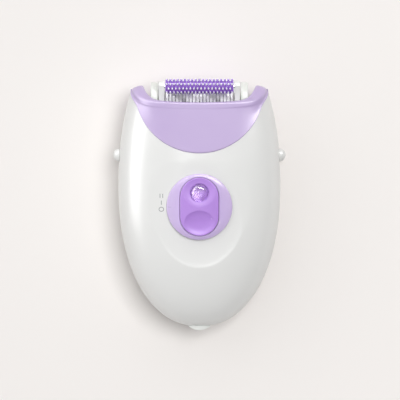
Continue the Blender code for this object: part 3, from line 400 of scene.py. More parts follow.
@dataclass(frozen=True)
class BoardLaminate:
    """Green solder mask over rows of copper tracks."""

    name: str
    mask: Colour
    track: Colour
    pitch: float = 1.3 * MM
    bands_to_scale: float = 0.05
    waver: float = 6.0
    waver_detail: float = 1.0
    waver_scale: float = 0.4
    track_edge: tuple[float, float] = (0.6, 0.7)
    track_depth: float = 0.03 * MM
    track_strength: float = 0.6
    roughness: float = 0.3
    patch_size: float = 1.0 * MM
    patch_dulling: float = 0.25

    def make(self) -> bpy.types.Material:
        """The material, ready to assign."""
        shader = Shader(self.name)
        where = shader.node("ShaderNodeTexCoord", output="Object")
        rows = shader.node(
            "ShaderNodeTexWave",
            {"bands_direction": "X"},
            {
                "Vector": where,
                "Scale": self.bands_to_scale / self.pitch,
                "Distortion": self.waver,
                "Detail": self.waver_detail,
                "Detail Scale": self.waver_scale,
            },
            1,
        )
        start, end = self.track_edge
        track = shader.node("ShaderNodeMapRange", None, {0: rows, 1: start, 2: end})
        return shader.close(
            {
                "Base Color": shader.blend(track, self.mask, self.track),
                "Roughness": self.roughness + self.patch_dulling * shader.noise(self.patch_size),
                "Normal": shader.bump(track, self.track_depth, self.track_strength),
            }
        )


Finish = Union[MouldedPlastic, DrawnSteel, ClearResin, PrintedInk, BoardLaminate]

WHITE_SHELL = MouldedPlastic(
    "white_gloss_shell", (0.82, 0.822, 0.81), (0.80, 0.802, 0.79), 0.3, Grain.POLISHED, 0.3
)
WHITE_SATIN = MouldedPlastic("white_satin", (0.85, 0.86, 0.84), (0.80, 0.82, 0.79), 0.38, Grain.SATIN)
CHEEK_WHITE = MouldedPlastic(
    "milky_cheek", (0.83, 0.85, 0.81), (0.78, 0.81, 0.76), 0.35, Grain.SATIN, translucency=0.4
)
# Its rim bead and edges are painted lighter by the edge lightening: a painted highlight.
COLLAR_LILAC = MouldedPlastic(
    "collar_lilac",
    (0.545, 0.435, 0.69),
    (0.515, 0.40, 0.67),
    0.34,
    Grain.SATIN,
    0.15,
    wear=1.1,
    wear_from=0.505,
)
DISC_LILAC = MouldedPlastic(
    "disc_lilac", (0.66, 0.54, 0.82), (0.62, 0.48, 0.80), 0.3, Grain.POLISHED, 0.15, 0.15
)
GRIP_PURPLE = MouldedPlastic(
    "grip_purple", (0.50, 0.29, 0.78), (0.47, 0.25, 0.74), 0.46, Grain.POLISHED, 0.05, 0.1
)
# Its nub tips are painted almost white by the edge lightening: a painted highlight, not wear.
ROLLER_PURPLE = MouldedPlastic(
    "roller_purple",
    (0.28, 0.12, 0.59),
    (0.23, 0.09, 0.52),
    0.25,
    Grain.POLISHED,
    0.4,
    0.2,
    wear=5.0,
    wear_from=0.502,
    rub=0.85,
)
LENS_CLEAR = ClearResin("lens_clear", (0.80, 0.70, 0.86), (0.72, 0.60, 0.80))
TWEEZER_STEEL = DrawnSteel(
    "tweezer_steel", (0.96, 0.96, 0.97), (0.90, 0.90, 0.92), 0.48, (1.0, 1.0, 12.0), 0.4
)
PIN_STEEL = DrawnSteel("pin_steel", (0.78, 0.78, 0.79), (0.55, 0.55, 0.57), 0.24, (0.1, 6.0, 6.0))
SPRING_STEEL = DrawnSteel("spring_steel", (0.66, 0.66, 0.68), (0.48, 0.48, 0.5), 0.3, (6.0, 0.2, 6.0))
NYLON = MouldedPlastic(
    "gear_nylon", (0.82, 0.79, 0.70), (0.76, 0.73, 0.64), 0.5, Grain.SATIN, translucency=0.2
)
GREY_MOULDING = MouldedPlastic("grey_moulding", (0.30, 0.30, 0.32), (0.25, 0.25, 0.27), 0.5, Grain.ETCHED)
BOARD_GREEN = BoardLaminate("board_green", (0.03, 0.20, 0.09), (0.08, 0.32, 0.14))
MARK_INK = PrintedInk("mark_ink", (0.30, 0.30, 0.32), (0.40, 0.40, 0.41))
INDEX_INK = PrintedInk("index_ink", (0.46, 0.38, 0.62), (0.52, 0.44, 0.68))


# Mesh helpers

SMOOTH_ANGLE = 40.0
CUT_SMOOTH_ANGLE = 30.0
WELD_DISTANCE = 0.002 * MM
FLAT_ANGLE = math.radians(1.0)
TIP_RADIUS = 0.02 * MM

Outline = Sequence[tuple[float, float]]
Surface = Callable[[float, float], float]


def smoothstep(start: float, end: float, value: float) -> float:
    """A smooth rise from 0 at start to 1 at end."""
    share = min(max((value - start) / (end - start), 0.0), 1.0)
    return share * share * (3 - 2 * share)


def mix(first: float, second: float, share: float) -> float:
    """A value between two others."""
    return first + (second - first) * share


def signed_power(value: float, power: float) -> float:
    """A power that keeps the value's sign."""
    return math.copysign(abs(value) ** power, value)


def steps(count: int) -> list[float]:
    """Evenly spaced shares from 0 to 1."""
    return [i / count for i in range(count + 1)]


def turn(count: int) -> list[float]:
    """Evenly spaced angles of one whole turn."""
    return [2 * math.pi * i / count for i in range(count)]


def quarter(count: int) -> list[float]:
    """Evenly spaced angles of a quarter turn, with both ends."""
    return [math.pi / 2 * share for share in steps(count)]


def squared_circle(angle: float, power: float) -> tuple[float, float]:
    """The place at an angle on a circle of radius 1 that a power above 2 makes squarer."""
    return signed_power(math.cos(angle), 2 / power), signed_power(math.sin(angle), 2 / power)


def domed(radius: float, foot: float, rise: float, count: int) -> list[tuple[float, float]]:
    """The section of a dome, from its tip to its foot.

    Args:
        radius: The dome's radius.
        foot: The height of its foot.
        rise: How far its tip stands over its foot.
        count: How many facets it has.

    Returns:
        Its (radius, height) points.
    """
    return [(max(radius * math.sin(a), TIP_RADIUS), foot + rise * math.cos(a)) for a in quarter(count)]


def shaded(piece: bpy.types.Object, angle: float = SMOOTH_ANGLE) -> bpy.types.Object:
    """Apply a piece's modifiers to its mesh, and shade it smooth up to an angle in degrees.

    Args:
        piece: The piece.
        angle: Edges that bend more stay sharp.

    Returns:
        The same piece.
    """
    graph = bpy.context.evaluated_depsgraph_get()
    mesh = bpy.data.meshes.new_from_object(piece.evaluated_get(graph))
    piece.modifiers.clear()
    piece.data = mesh
    mesh.shade_smooth()
    mesh.set_sharp_from_angle(angle=math.radians(angle))
    return piece


def new_piece(name: str, bm: bmesh.types.BMesh) -> bpy.types.Object:
    """Turn a bmesh into an object with its faces turned outwards.

    Args:
        name: The piece's name.
        bm: Its mesh, which is freed.

    Returns:
        The object.
    """
    bmesh.ops.recalc_face_normals(bm, faces=bm.faces)
    mesh = bpy.data.meshes.new(name)
    bm.to_mesh(mesh)
    bm.free()
    piece = bpy.data.objects.new(name, mesh)
    bpy.context.scene.collection.objects.link(piece)
    return piece


def add_loft(bm: bmesh.types.BMesh, rings: Sequence[Sequence[Point]], closed: bool = False) -> None:
    """Add a solid through closed rings of equal length to a mesh.

    Args:
        bm: The mesh.
        rings: The rings' points.
        closed: Whether the last ring joins the first; otherwise both ends get a face.
    """
    levels = [[bm.verts.new(point) for point in ring] for ring in rings]
    pairs = list(zip(levels, levels[1:] + levels[:1]))
    for lower, upper in pairs if closed else pairs[:-1]:
        for j in range(len(lower)):
            k = (j + 1) % len(lower)
            bm.faces.new((lower[j], lower[k], upper[k], upper[j]))
    if not closed:
        bm.faces.new(levels[0])
        bm.faces.new(levels[-1])


def lofted(name: str, rings: Sequence[Sequence[Point]], closed: bool = False) -> bpy.types.Object:
    """A piece that is one solid through closed rings of equal length.

    Args:
        name: The piece's name.
        rings: The rings' points.
        closed: Whether the last ring joins the first; otherwise both ends get a face.

    Returns:
        The object.
    """
    bm = bmesh.new()
    add_loft(bm, rings, closed)
    return new_piece(name, bm)


def walled(name: str, outer: list[list[Point]], inner: list[list[Point]]) -> bpy.types.Object:
    """The wall between two open sheets with as many rows and columns each.

    Args:
        name: The piece's name.
        outer: The outer sheet's rows of points.
        inner: The inner sheet's rows of points.

    Returns:
        The object.
    """
    bm = bmesh.new()
    sheets = [[[bm.verts.new(point) for point in row] for row in sheet] for sheet in (outer, inner)]
    rows, columns = len(outer), len(outer[0])
    for sheet in sheets:
        for i in range(rows - 1):
            for j in range(columns - 1):
                bm.faces.new((sheet[i][j], sheet[i][j + 1], sheet[i + 1][j + 1], sheet[i + 1][j]))
    rim = [(i, 0) for i in range(rows)] + [(rows - 1, j) for j in range(1, columns)]
    rim += [(i, columns - 1) for i in range(rows - 2, -1, -1)]
    rim += [(0, j) for j in range(columns - 2, 0, -1)]
    for (i, j), (k, m) in zip(rim, rim[1:] + rim[:1]):
        bm.faces.new((sheets[0][i][j], sheets[0][k][m], sheets[1][k][m], sheets[1][i][j]))
    return new_piece(name, bm)


def turned(name: str, profile: Outline, place: Matrix, count: int = 64) -> bpy.types.Object:
    """A profile turned about its own Z.

    Args:
        name: The piece's name.
        profile: Its (radius, height) points from one end to the other.
        place: Where it stands.
        count: How many steps make the turn.

    Returns:
        The object.
    """
    rings = []
    for radius, height in profile:
        ring = [(radius * math.cos(a), radius * math.sin(a), height) for a in turn(count)]
        rings.append([place @ Vector(point) for point in ring])
    return lofted(name, rings)


def rounded(piece: bpy.types.Object, width: float, count: int = 3, angle: float = 50.0) -> bpy.types.Object:
    """Give a piece's sharp edges a small radius.

    Args:
        piece: The piece.
        width: The radius.
        count: How many facets the radius has.
        angle: Edges that bend more than this, in degrees, are rounded.

    Returns:
        The same piece.
    """
    edge = piece.modifiers.new("edge", "BEVEL")
    edge.width = width
    edge.segments = count
    edge.limit_method = "ANGLE"
    edge.angle_limit = math.radians(angle)
    return piece


def cut_away(piece: bpy.types.Object, cutter: bpy.types.Object) -> None:
    """Cut one piece out of another, and remove the cutter.

    Args:
        piece: The piece that is cut.
        cutter: What is taken away.
    """
    tool = piece.modifiers.new("cut", "BOOLEAN")
    tool.operation = "DIFFERENCE"
    tool.solver = "EXACT"
    tool.object = cutter
    shaded(piece, CUT_SMOOTH_ANGLE)
    bpy.data.objects.remove(cutter, do_unlink=True)


def softened(node: str, width: float, angle: float = 35.0) -> bpy.types.Object:
    """A piece with a frame node's shape and a small radius on its edges.

    Args:
        node: The node.
        width: The radius.
        angle: Edges that bend more than this, in degrees, are rounded.

    Returns:
        The object.
    """
    bm = bmesh.new()
    bm.from_mesh(FRAME["nodes"][node].data)
    bmesh.ops.remove_doubles(bm, verts=bm.verts, dist=WELD_DISTANCE)
    bmesh.ops.dissolve_limit(bm, angle_limit=FLAT_ANGLE, verts=bm.verts, edges=bm.edges)
    piece = rounded(new_piece(f"{node}_fine", bm), width, 2, angle)
    return shaded(piece)


_MATERIALS: dict[str, bpy.types.Material] = {}


def coated(piece: bpy.types.Object, finish: Finish) -> bpy.types.Object:
    """Give a piece or a node its finish, made once and shared.

    Args:
        piece: The piece or node.
        finish: Its finish.

    Returns:
        The same piece.
    """
    if finish.name not in _MATERIALS:
        _MATERIALS[finish.name] = finish.make()
    piece.data.materials.clear()
    piece.data.materials.append(_MATERIALS[finish.name])
    return piece


def installed(piece: bpy.types.Object, body: str, finish: Finish, node: str = "") -> None:
    """Finish a piece and hang it on its body.

    Args:
        piece: The piece, in place.
        body: The body that it rides on.
        finish: Its finish.
        node: The frame node that it stands for, if any.
    """
    coated(piece, finish)
    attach(piece, body)
    if node:
        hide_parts(node)
    LOG.info("%s rides on %s, %d faces", piece.name, body, len(piece.data.polygons))


# Forms of the housing


@dataclass(frozen=True)
class EggForm:
    """The housing's outside, from which the shells, the collar and the slide take their shapes."""

    width: float = 68.0 * MM
    depth: float = 37.0 * MM
    mid_z: float = 18.0 * MM
    belly_y: float = 9.0 * MM
    tail_length: float = 59.9 * MM
    shoulder_length: float = 69.0 * MM
    neck_length: float = 74.0 * MM
    tail_power: float = 2.2
    tail_depth_power: float = 2.4
    shoulder_power: float = 2.1
    neck_power: float = 2.0
    section_power: float = 2.3
    wall: float = 2.0 * MM
    dish_y: float = -3.0 * MM
    dish_half_width: float = 18.5 * MM
    dish_half_length: float = 22.7 * MM
    dish_depth: float = 1.7 * MM
    dish_bed: float = 0.38
    dish_foot: float = 0.5
    dish_bow: float = 0.7
    dish_soft_depth: float = 0.7 * MM
    dish_soft_edge: float = 0.45
    dish_lean: float = 0.5
    dish_floor: float = 0.6 * MM
    dish_radius: float = 88.0 * MM
    bib_centre_y: float = 47.8 * MM
    bib_drop: float = 26.2 * MM
    bib_half_width: float = 26.2 * MM
    horn_flare: float = 2.4 * MM
    flare_start_y: float = 40.0 * MM
    horn_slope: float = 1.3 * MM
    seam_halvings: int = 40
    slide_y: float = -0.8 * MM
    slide_tilt: float = math.radians(1.7)

    def half_width(self, y: float) -> float:
        """Half of the housing's width at a station along its length."""
        share, power = (y - self.belly_y) / self.shoulder_length, self.shoulder_power
        if y < self.belly_y:
            share, power = (self.belly_y - y) / self.tail_length, self.tail_power
        return self.width / 2 * (1 - min(share, 1.0) ** power) ** (1 / power)

    def half_depth(self, y: float) -> float:
        """Half of the housing's depth at a station along its length."""
        share, power = (y - self.belly_y) / self.neck_length, self.neck_power
        if y < self.belly_y:
            share, power = (self.belly_y - y) / self.tail_length, self.tail_depth_power
        return self.depth / 2 * (1 - min(share, 1.0) ** power) ** (1 / power)

    def point(self, y: float, angle: float, inset: float = 0.0) -> Vector:
        """A point of the egg.

        Args:
            y: The station along its length.
            angle: The angle round it, from the right over the front.
            inset: How far inside the outside it lies.

        Returns:
            The point.
        """
        across, out = squared_circle(angle, self.section_power)
        x = self.half_width(y) * (1 - inset / (self.width / 2)) * across
        z = self.mid_z + self.half_depth(y) * (1 - inset / (self.depth / 2)) * out
        if y < self.belly_y:
            y = self.belly_y - (self.belly_y - y) * (1 - inset / self.tail_length)
        return Vector((x, y, z))

    def seam_y(self, angle: float) -> float:
        """The station of the seam between handle and collar, at an angle round the egg."""
        low, high = self.bib_centre_y - self.bib_drop, self.bib_centre_y + self.horn_slope
        for _ in range(self.seam_halvings):
            middle = (low + high) / 2
            drop = (self.bib_centre_y - middle) / self.bib_drop
            edge = self.bib_half_width * math.sqrt(max(1 - drop**2, 0.0))
            edge += self.horn_flare * smoothstep(self.flare_start_y, self.bib_centre_y, middle)
            if abs(self.point(middle, angle).x) > edge:
                low = middle
            else:
                high = middle
        return low

    def slide_floor(self, x: float, y: float) -> float:
        """The height of the arched, tilted surface that the thumb slide runs over."""
        level = self.mid_z + self.depth / 2 - self.dish_floor
        return level + math.tan(self.slide_tilt) * (y - self.slide_y) - x**2 / (2 * self.dish_radius)

    def pressed(self, point: Vector) -> Vector:
        """A point of the front with the thumb dish pressed into it.

        Args:
            point: A point of the plain egg, which is changed.

        Returns:
            The same point.
        """
        along = point.y - self.dish_y
        radius = math.hypot(point.x / self.dish_half_width, along / self.dish_half_length)
        wall = min(max((1 - radius) / (1 - self.dish_foot), 0.0), 1.0)
        crisp = self.dish_depth * wall**self.dish_bow * smoothstep(self.dish_bed, self.dish_foot, radius)
        soft = self.dish_soft_depth * (1 - smoothstep(1 - self.dish_soft_edge, 1.0, radius))
        towards_head = along - self.dish_lean * point.x
        head_share = smoothstep(-self.dish_half_length, self.dish_half_length, towards_head)
        point.z -= mix(crisp, soft, head_share)
        point.z = min(point.z, self.slide_floor(point.x, point.y))
        return point

    def front_z(self, x: float, y: float) -> float:
        """The height of the front's outside at a place."""
        rise = (1 - (abs(x) / self.half_width(y)) ** self.section_power) ** (1 / self.section_power)
        return self.pressed(Vector((x, y, self.mid_z + self.half_depth(y) * rise))).z


EGG = EggForm()


class Side(Enum):
    """Which side of the housing a piece is on, seen from the front."""

    LEFT = -1
    RIGHT = 1

    @property
    def word(self) -> str:
        """The side's word in names."""
        return self.name.lower()

    @property
    def outwards(self) -> Matrix:
        """A turn that lays a turned piece's axis along this side's way out."""
        return Matrix.Rotation(self.value * math.pi / 2, 4, "Y")


# Handle


@dataclass
class Shells:
    """The two white halves of the housing."""

    tail_y: float = -50.44 * MM
    seam_gap: float = 0.4 * MM
    parting_gap: float = 0.3 * MM
    edge_radius: float = 0.35 * MM
    rows: int = 150
    columns: int = 150
    row_crowding: float = 1.25
    slot_half_width: float = 2.9 * MM
    slot_y: tuple[float, float] = (-3.7 * MM, 7.5 * MM)
    slot_corners: tuple[float, float] = (0.5, 0.25)
    slot_steps: int = 48
    stud_y: float = 20.9 * MM
    stud_hole_radius: float = 3.0 * MM
    stud_inside_x: float = 29.2 * MM
    scallop_radius: float = 7.0 * MM
    scallop_depth: float = 0.9 * MM
    scallop_foot: tuple[float, float] = (0.12, 0.02)
    smooth_angle: float = 30.0

    def half(self, name: str, first_angle: float, front: bool) -> bpy.types.Object:
        """One half of the hollow egg, from the tail to the collar's seam.

        Args:
            name: The piece's name.
            first_angle: Where the half starts round the egg.
            front: Whether it is the front half, with the thumb dish.

        Returns:
            The piece, with its edges rounded.
        """
        parting = EGG.mid_z + (self.parting_gap if front else -self.parting_gap) / 2
        angles = [first_angle + math.pi * share for share in steps(self.columns)]
        ends = [EGG.seam_y(angle) - self.seam_gap for angle in angles]
        sheets: tuple[list[list[Point]], list[list[Point]]] = ([], [])
        for share in steps(self.rows):
            for sheet, inset in zip(sheets, (0.0, EGG.wall)):
                row = []
                for angle, end in zip(angles, ends):
                    point = EGG.point(mix(self.tail_y, end, share**self.row_crowding), angle, inset)
                    if front and not inset:
                        point = EGG.pressed(point)
                    point.z = max(point.z, parting) if front else min(max(point.z, 0.0), parting)
                    row.append(point)
                sheet.append(row)
        return shaded(rounded(walled(name, *sheets), self.edge_radius), self.smooth_angle)

    def stud_holes(self, shell: bpy.types.Object) -> None:
        """Cut the studs' holes and scallops into one half."""
        for side in Side:
            place = Matrix.Translation((0.0, self.stud_y, EGG.mid_z)) @ side.outwards
            start = EGG.half_width(self.stud_y) - self.scallop_depth
            slope = self.scallop_radius
            foot, rise = self.scallop_foot
            profile = [
                (self.stud_hole_radius, self.stud_inside_x),
                (self.stud_hole_radius, start),
                (self.stud_hole_radius + slope * foot, start + slope * rise),
                (self.stud_hole_radius + 2 * slope, start + slope),
            ]
            cut_away(shell, turned(f"stud_bore_{side.word}", profile, place))

    def slide_slot(self, shell: bpy.types.Object) -> None:
        """Cut the thumb slide's slot into the front half."""
        half = self.slot_half_width
        side_corner, end_corner = self.slot_corners
        outline = []
        for angle in turn(self.slot_steps):
            x = half * signed_power(math.cos(angle), side_corner)
            share = (1 + signed_power(math.sin(angle), end_corner)) / 2
            outline.append((x, mix(*self.slot_y, share)))
        levels = (EGG.mid_z + EGG.depth / 4, EGG.mid_z + EGG.depth)
        cut_away(shell, lofted("slot_cutter", [[(x, y, z) for x, y in outline] for z in levels]))

    def build(self) -> None:
        """Make both halves and put them on the handle."""
        front = self.half("front_shell_fine", 0.0, True)
        self.slide_slot(front)
        rear = self.half("rear_shell_fine", math.pi, False)
        for shell, node in ((front, "front_shell"), (rear, "rear_shell")):
            self.stud_holes(shell)
            installed(shell, "handle", WHITE_SHELL, node)


@dataclass
class ReleaseStuds:
    """The two domed studs that free the head."""

    y: float = 20.9 * MM
    reach: float = 36.2 * MM
    radius: float = 2.7 * MM
    dome: float = 2.6 * MM
    stem_radius: float = 1.8 * MM
    flange_radius: float = 3.7 * MM
    flange_x: tuple[float, float] = (29.2 * MM, 30.4 * MM)
    tip_x: float = 24.2 * MM
    groove_depth: float = 0.25 * MM
    dome_steps: int = 14
    smooth_angle: float = 32.0

    def profile(self) -> list[tuple[float, float]]:
        """The stud's section from the tip of its dome to the end of its stem."""
        start = self.reach - self.dome
        groove = start - self.groove_depth
        return domed(self.radius, start, self.dome, self.dome_steps) + [
            (self.radius - self.groove_depth, groove),
            (self.radius, groove - self.groove_depth),
            (self.radius, self.flange_x[1]),
            (self.flange_radius, self.flange_x[1]),
            (self.flange_radius, self.flange_x[0]),
            (self.stem_radius, self.flange_x[0]),
            (self.stem_radius, self.tip_x + self.groove_depth),
            (self.stem_radius - self.groove_depth, self.tip_x),
        ]

    def build(self) -> None:
        """Make both studs and put each on its own body."""
        for side in Side:
            place = Matrix.Translation((0.0, self.y, EGG.mid_z)) @ side.outwards
            stud = turned(f"release_stud_{side.word}", self.profile(), place)
            body, node = f"release_{side.word}", f"release_button_{side.word}"
            installed(shaded(stud, self.smooth_angle), body, WHITE_SHELL, node)


@dataclass
class PowerInlet:
    """The oval low-voltage inlet at the tail, with its two pins."""

    end_y: float = -52.4 * MM
    length: float = 10.4 * MM
    half_width: float = 4.6 * MM
    half_height: float = 2.7 * MM
    wall: float = 0.85 * MM
    recess: float = 7.0 * MM
    power: float = 2.6
    edge: float = 0.45 * MM
    bow: float = 1.5 * MM
    pin_x: float = 1.8 * MM
    pin_radius: float = 0.5 * MM
    pin_reach: float = 5.0 * MM
    pin_gap: float = 0.3 * MM
    pin_tip_radius: float = 0.1 * MM
    pin_smooth_angle: float = 50.0
    edge_angle: float = 60.0
    edge_steps: int = 3
    ring_steps: int = 64
    pin_steps: int = 24

    def ring(self, y: float, inset: float, bow: float = 0.0) -> list[Point]:
        """An oval of the inlet.

        Args:
            y: Its station.
            inset: How far inside the inlet's outside it lies.
            bow: How far its sides stand back behind its middle.

        Returns:
            The oval's points.
        """
        points = []
        for angle in turn(self.ring_steps):
            across, up = squared_circle(angle, self.power)
            x = (self.half_width - inset) * across
            z = (self.half_height - inset) * up
            points.append((x, y + bow * (x / self.half_width) ** 2, EGG.mid_z + z))
        return points

    def build(self) -> None:
        """Make the inlet and its pins, and put them on the handle."""
        floor = self.end_y + self.recess
        inside = self.end_y - 2 * self.edge
        back = self.end_y + self.length
        body = lofted("inlet_body", [self.ring(self.end_y, 0.0, self.bow), self.ring(back, 0.0)])
        cut_away(body, lofted("recess_cutter", [self.ring(y, self.wall) for y in (inside, floor)]))
        along = Matrix.Rotation(-math.pi / 2, 4, "X")
        for side in Side:
            place = Matrix.Translation((side.value * self.pin_x, 0.0, EGG.mid_z)) @ along
            bore = self.pin_radius + self.pin_gap
            ends = (floor - self.pin_gap, back + self.pin_gap)
            cut_away(body, turned("bore_cutter", [(bore, y) for y in ends], place, self.pin_steps))
            tip = floor - self.pin_reach
            profile = [
                (self.pin_tip_radius, tip),
                (self.pin_radius, tip + self.pin_radius),
                (self.pin_radius, back),
            ]
            pin = turned(f"inlet_pin_{side.word}", profile, place, self.pin_steps)
            node = f"socket_pin_{side.word}"
            installed(shaded(pin, self.pin_smooth_angle), "handle", PIN_STEEL, node)
        shaded(rounded(body, self.edge / 2, self.edge_steps, self.edge_angle))
        installed(body, "handle", WHITE_SATIN, "power_socket")


# Head


@dataclass
class HeadCollar:
    """The lilac saddle-shaped cap with its two horns."""

    rim_half_width: float = 23.4 * MM
    rim_half_depth: float = 14.2 * MM
    rim_thickness: float = 1.9 * MM
    rim_y: float = 42.3 * MM
    rim_power: float = 3.0
    horn_rise: float = 8.2 * MM
    horn_thickness: float = 4.9 * MM
    horn_sharpness: float = 9.0
    saddle_rise: float = 1.9 * MM
    bead_height: float = 0.2 * MM
    bead_width: float = 1.5 * MM
    gap: float = 0.3 * MM
    lip_height: float = 1.4 * MM
    lip_power: float = 2.6
    tongue_depth: float = 1.5 * MM
    tongue_wall: float = 1.0 * MM
    edge_radius: float = 0.55 * MM
    edge_raise: float = 0.6 * MM
    edge_overlap: float = 0.5 * MM
    edge_clearance: float = 0.04 * MM
    edge_fade: float = 0.45
    bead_crest: float = 0.4
    smooth_angle: float = 35.0
    columns: int = 240
    rows: int = 60
    edge_steps: int = 6
    lip_steps: int = 14

    def rim(self, angle: float) -> tuple[Vector, Vector]:
        """The outer and the inner foot of the rounded rim, at an angle round the head."""
        across, out = squared_circle(angle, self.rim_power)
        saddle = self.saddle_rise / self.horn_rise
        rise = mix(abs(across) ** self.horn_sharpness, across**2, saddle)
        foot = self.rim_y - self.lip_height
        outer = Vector(
            (
                (self.rim_half_width + self.horn_thickness) * across,
                foot - self.gap + (self.horn_rise - EGG.horn_slope) * rise,
                EGG.mid_z + (self.rim_half_depth + self.rim_thickness) * out,
            )
        )
        inner = Vector(
            (
                self.rim_half_width * across,
                foot + self.horn_rise * rise,
                EGG.mid_z + self.rim_half_depth * out,
            )
        )
        return outer, inner

    def section(self, angle: float) -> list[Vector]:
        """The collar's section at an angle: outside, lip, inside and the tongue in the handle.

        Args:
            angle: The angle round the head.

        Returns:
            The closed section's points.
        """
        low = EGG.seam_y(angle)
        outer, inner = self.rim(angle)
        proud = smoothstep(0.0, self.edge_fade, math.sin(angle))
        start = low - self.edge_overlap * proud
        inset = EGG.wall + self.gap + self.tongue_wall
        outer_shift = outer - EGG.point(outer.y, angle)
        inner_shift = inner - EGG.point(inner.y, angle, inset)
        points = []
        for bend in quarter(self.edge_steps):
            y = start + self.edge_radius * (1 - math.cos(bend))
            depth = self.edge_radius * (1 - math.sin(bend)) - self.edge_raise * proud
            points.append(EGG.point(y, angle, depth))
        for share in steps(self.rows)[1:]:
            y = mix(start + self.edge_radius, outer.y, share)
            crest = self.bead_crest * self.bead_width
            bead = self.bead_height * smoothstep(self.bead_width, crest, outer.y - y)
            raised = self.edge_raise * proud * (1 - share) ** 2 + bead
            points.append(EGG.point(y, angle, -raised) + outer_shift * share**2)
        outer = points[-1]
        middle, half = (outer + inner) / 2, (inner - outer) / 2
        for share in steps(self.lip_steps)[1:-1]:
            across, up = squared_circle(math.pi * share, self.lip_power)
            points.append(middle - half * across + Vector((0.0, self.lip_height * up, 0.0)))
        for share in reversed(steps(self.rows // 2)):
            y = mix(low - self.tongue_depth, inner.y, share)
            points.append(EGG.point(y, angle, inset) + inner_shift * share**2)
        ledge = EGG.point(low, angle, EGG.wall + self.gap)
        sill = EGG.point(low, angle, mix(self.edge_radius, -self.edge_clearance, proud))
        return points + [ledge - Vector((0.0, self.tongue_depth, 0.0)), ledge, sill]

    def build(self) -> None:
        """Make the collar and put it on the head."""
        collar = lofted("head_collar_fine", [self.section(angle) for angle in turn(self.columns)], True)
        installed(shaded(collar, self.smooth_angle), "head", COLLAR_LILAC, "head_collar")


@dataclass
class MassageRollers:
    """The two purple rollers with their staggered rows of rounded nubs."""

    y: float = 49.0 * MM
    offset_z: float = 10.4 * MM
    half_length: float = 14.2 * MM
    radius: float = 2.6 * MM
    nub_height: float = 0.8 * MM
    bore: float = 1.0 * MM
    row_count: int = 10
    nubs_in_row: int = 19
    fineness: int = 12
    nub_spread: float = 0.7
    nub_bluntness: float = 0.7
    first_row: float = math.radians(4)

    def nub(self, along: float, around: float) -> float:
        """The share of a nub's height at a place.

        Args:
            along: The place along the roller, counted in nubs.
            around: The place round the roller, counted in rows.

        Returns:
            1 on a nub's tip, and 0 between the nubs.
        """
        row = round(around)
        shift = 0.5 * (row % 2)
        nearest = min(max(round(along - shift - 0.5), 0), self.nubs_in_row - 1 - row % 2)
        reach = 2 * math.hypot(along - shift - 0.5 - nearest, around - row) / self.nub_spread
        return max(1.0 - reach**2, 0.0) ** self.nub_bluntness

    def roller(self, name: str, z: float) -> bpy.types.Object:
        """One roller about its axle.

        Args:
            name: The piece's name.
            z: The height of its axle.

        Returns:
            The piece.
        """
        stations = self.nubs_in_row * self.fineness
        columns = self.row_count * self.fineness
        loops = []
        for j in range(columns):
            around = j / self.fineness
            angle = self.first_row + 2 * math.pi * j / columns
            loop = [(-self.half_length, self.bore)]
            for i in range(stations + 1):
                height = self.nub_height * self.nub(i / self.fineness, around)
                loop.append(((2 * i / stations - 1) * self.half_length, self.radius + height))
            loop.append((self.half_length, self.bore))
            turns = (math.cos(angle), math.sin(angle))
            loops.append([(x, self.y + r * turns[0], z + r * turns[1]) for x, r in loop])
        return shaded(lofted(name, loops, True))

    def build(self) -> None:
        """Make both rollers and put each on its own body."""
        for word, offset in (("front", self.offset_z), ("rear", -self.offset_z)):
            piece = self.roller(f"roller_{word}_fine", EGG.mid_z + offset)
            installed(piece, f"roller_{word}", ROLLER_PURPLE, f"massage_roller_{word}")


@dataclass
class TweezerDrum:
    """The turning row of tweezer discs."""

    y: float = 43.0 * MM
    count: int = 20
    pitch: float = 1.42 * MM
    gap: float = 0.3 * MM
    radius: float = 8.0 * MM
    hub_radius: float = 4.6 * MM
    bore: float = 1.8 * MM
    lobes: int = 3
    twist: float = math.radians(12)
    lobe_edge: tuple[float, float] = (-0.2, 0.6)
    edge: float = 0.22 * MM
    gear_edge: float = 0.08 * MM
    outline_steps: int = 96

    def disc(self, index: int) -> bpy.types.Object:
        """One disc: a hub with blunt lobes, its rim rounded.

        Args:
            index: Its place in the row, from 0.

        Returns:
            The piece.
        """
        middle = (index + 0.5) * self.pitch - self.count * self.pitch / 2
        half = (self.pitch - self.gap) / 2
        section = [(-half, 0.0), (-half, -self.edge), (-half + self.edge, None), (half - self.edge, None)]
        section += [(half, -self.edge), (half, 0.0)]
        loops = []
        for angle in turn(self.outline_steps):
            lobe = smoothstep(*self.lobe_edge, math.cos(self.lobes * angle))
            reach = mix(self.hub_radius, self.radius, lobe)
            loop = []
            for x, inset in section:
                radius = self.bore if inset == 0.0 else reach + (inset or 0.0)
                way = angle + self.twist * index
                y, z = self.y + radius * math.cos(way), EGG.mid_z + radius * math.sin(way)
                loop.append((middle + x, y, z))
            loops.append(loop)
        return shaded(lofted(f"tweezer_{index + 1:02d}", loops, True))

    def build(self) -> None:
        """Make the discs and dress the drum's gear and shaft."""
        for index in range(self.count):
            installed(self.disc(index), "drum", TWEEZER_STEEL, f"tweezer_disc_{index + 1:02d}")
        installed(softened("drum_gear", self.gear_edge), "drum", NYLON, "drum_gear")
        coated(FRAME["nodes"]["drum_shaft"], PIN_STEEL)


@dataclass
class HeadFrame:
    """The white frame with its bearing arms, the end covers and the roller axles."""

    frame_edge: float = 0.35 * MM
    cover_edge: float = 0.45 * MM

    def build(self) -> None:
        """Round the edges of frame and covers, and dress the axles."""
        installed(softened("head_frame", self.frame_edge), "head", WHITE_SATIN, "head_frame")
        for side in Side:
            node = f"end_cover_{side.word}"
            installed(softened(node, self.cover_edge), "head", CHEEK_WHITE, node)
        for word in ("front", "rear"):
            coated(FRAME["nodes"][f"roller_axle_{word}"], PIN_STEEL)


# Thumb slide


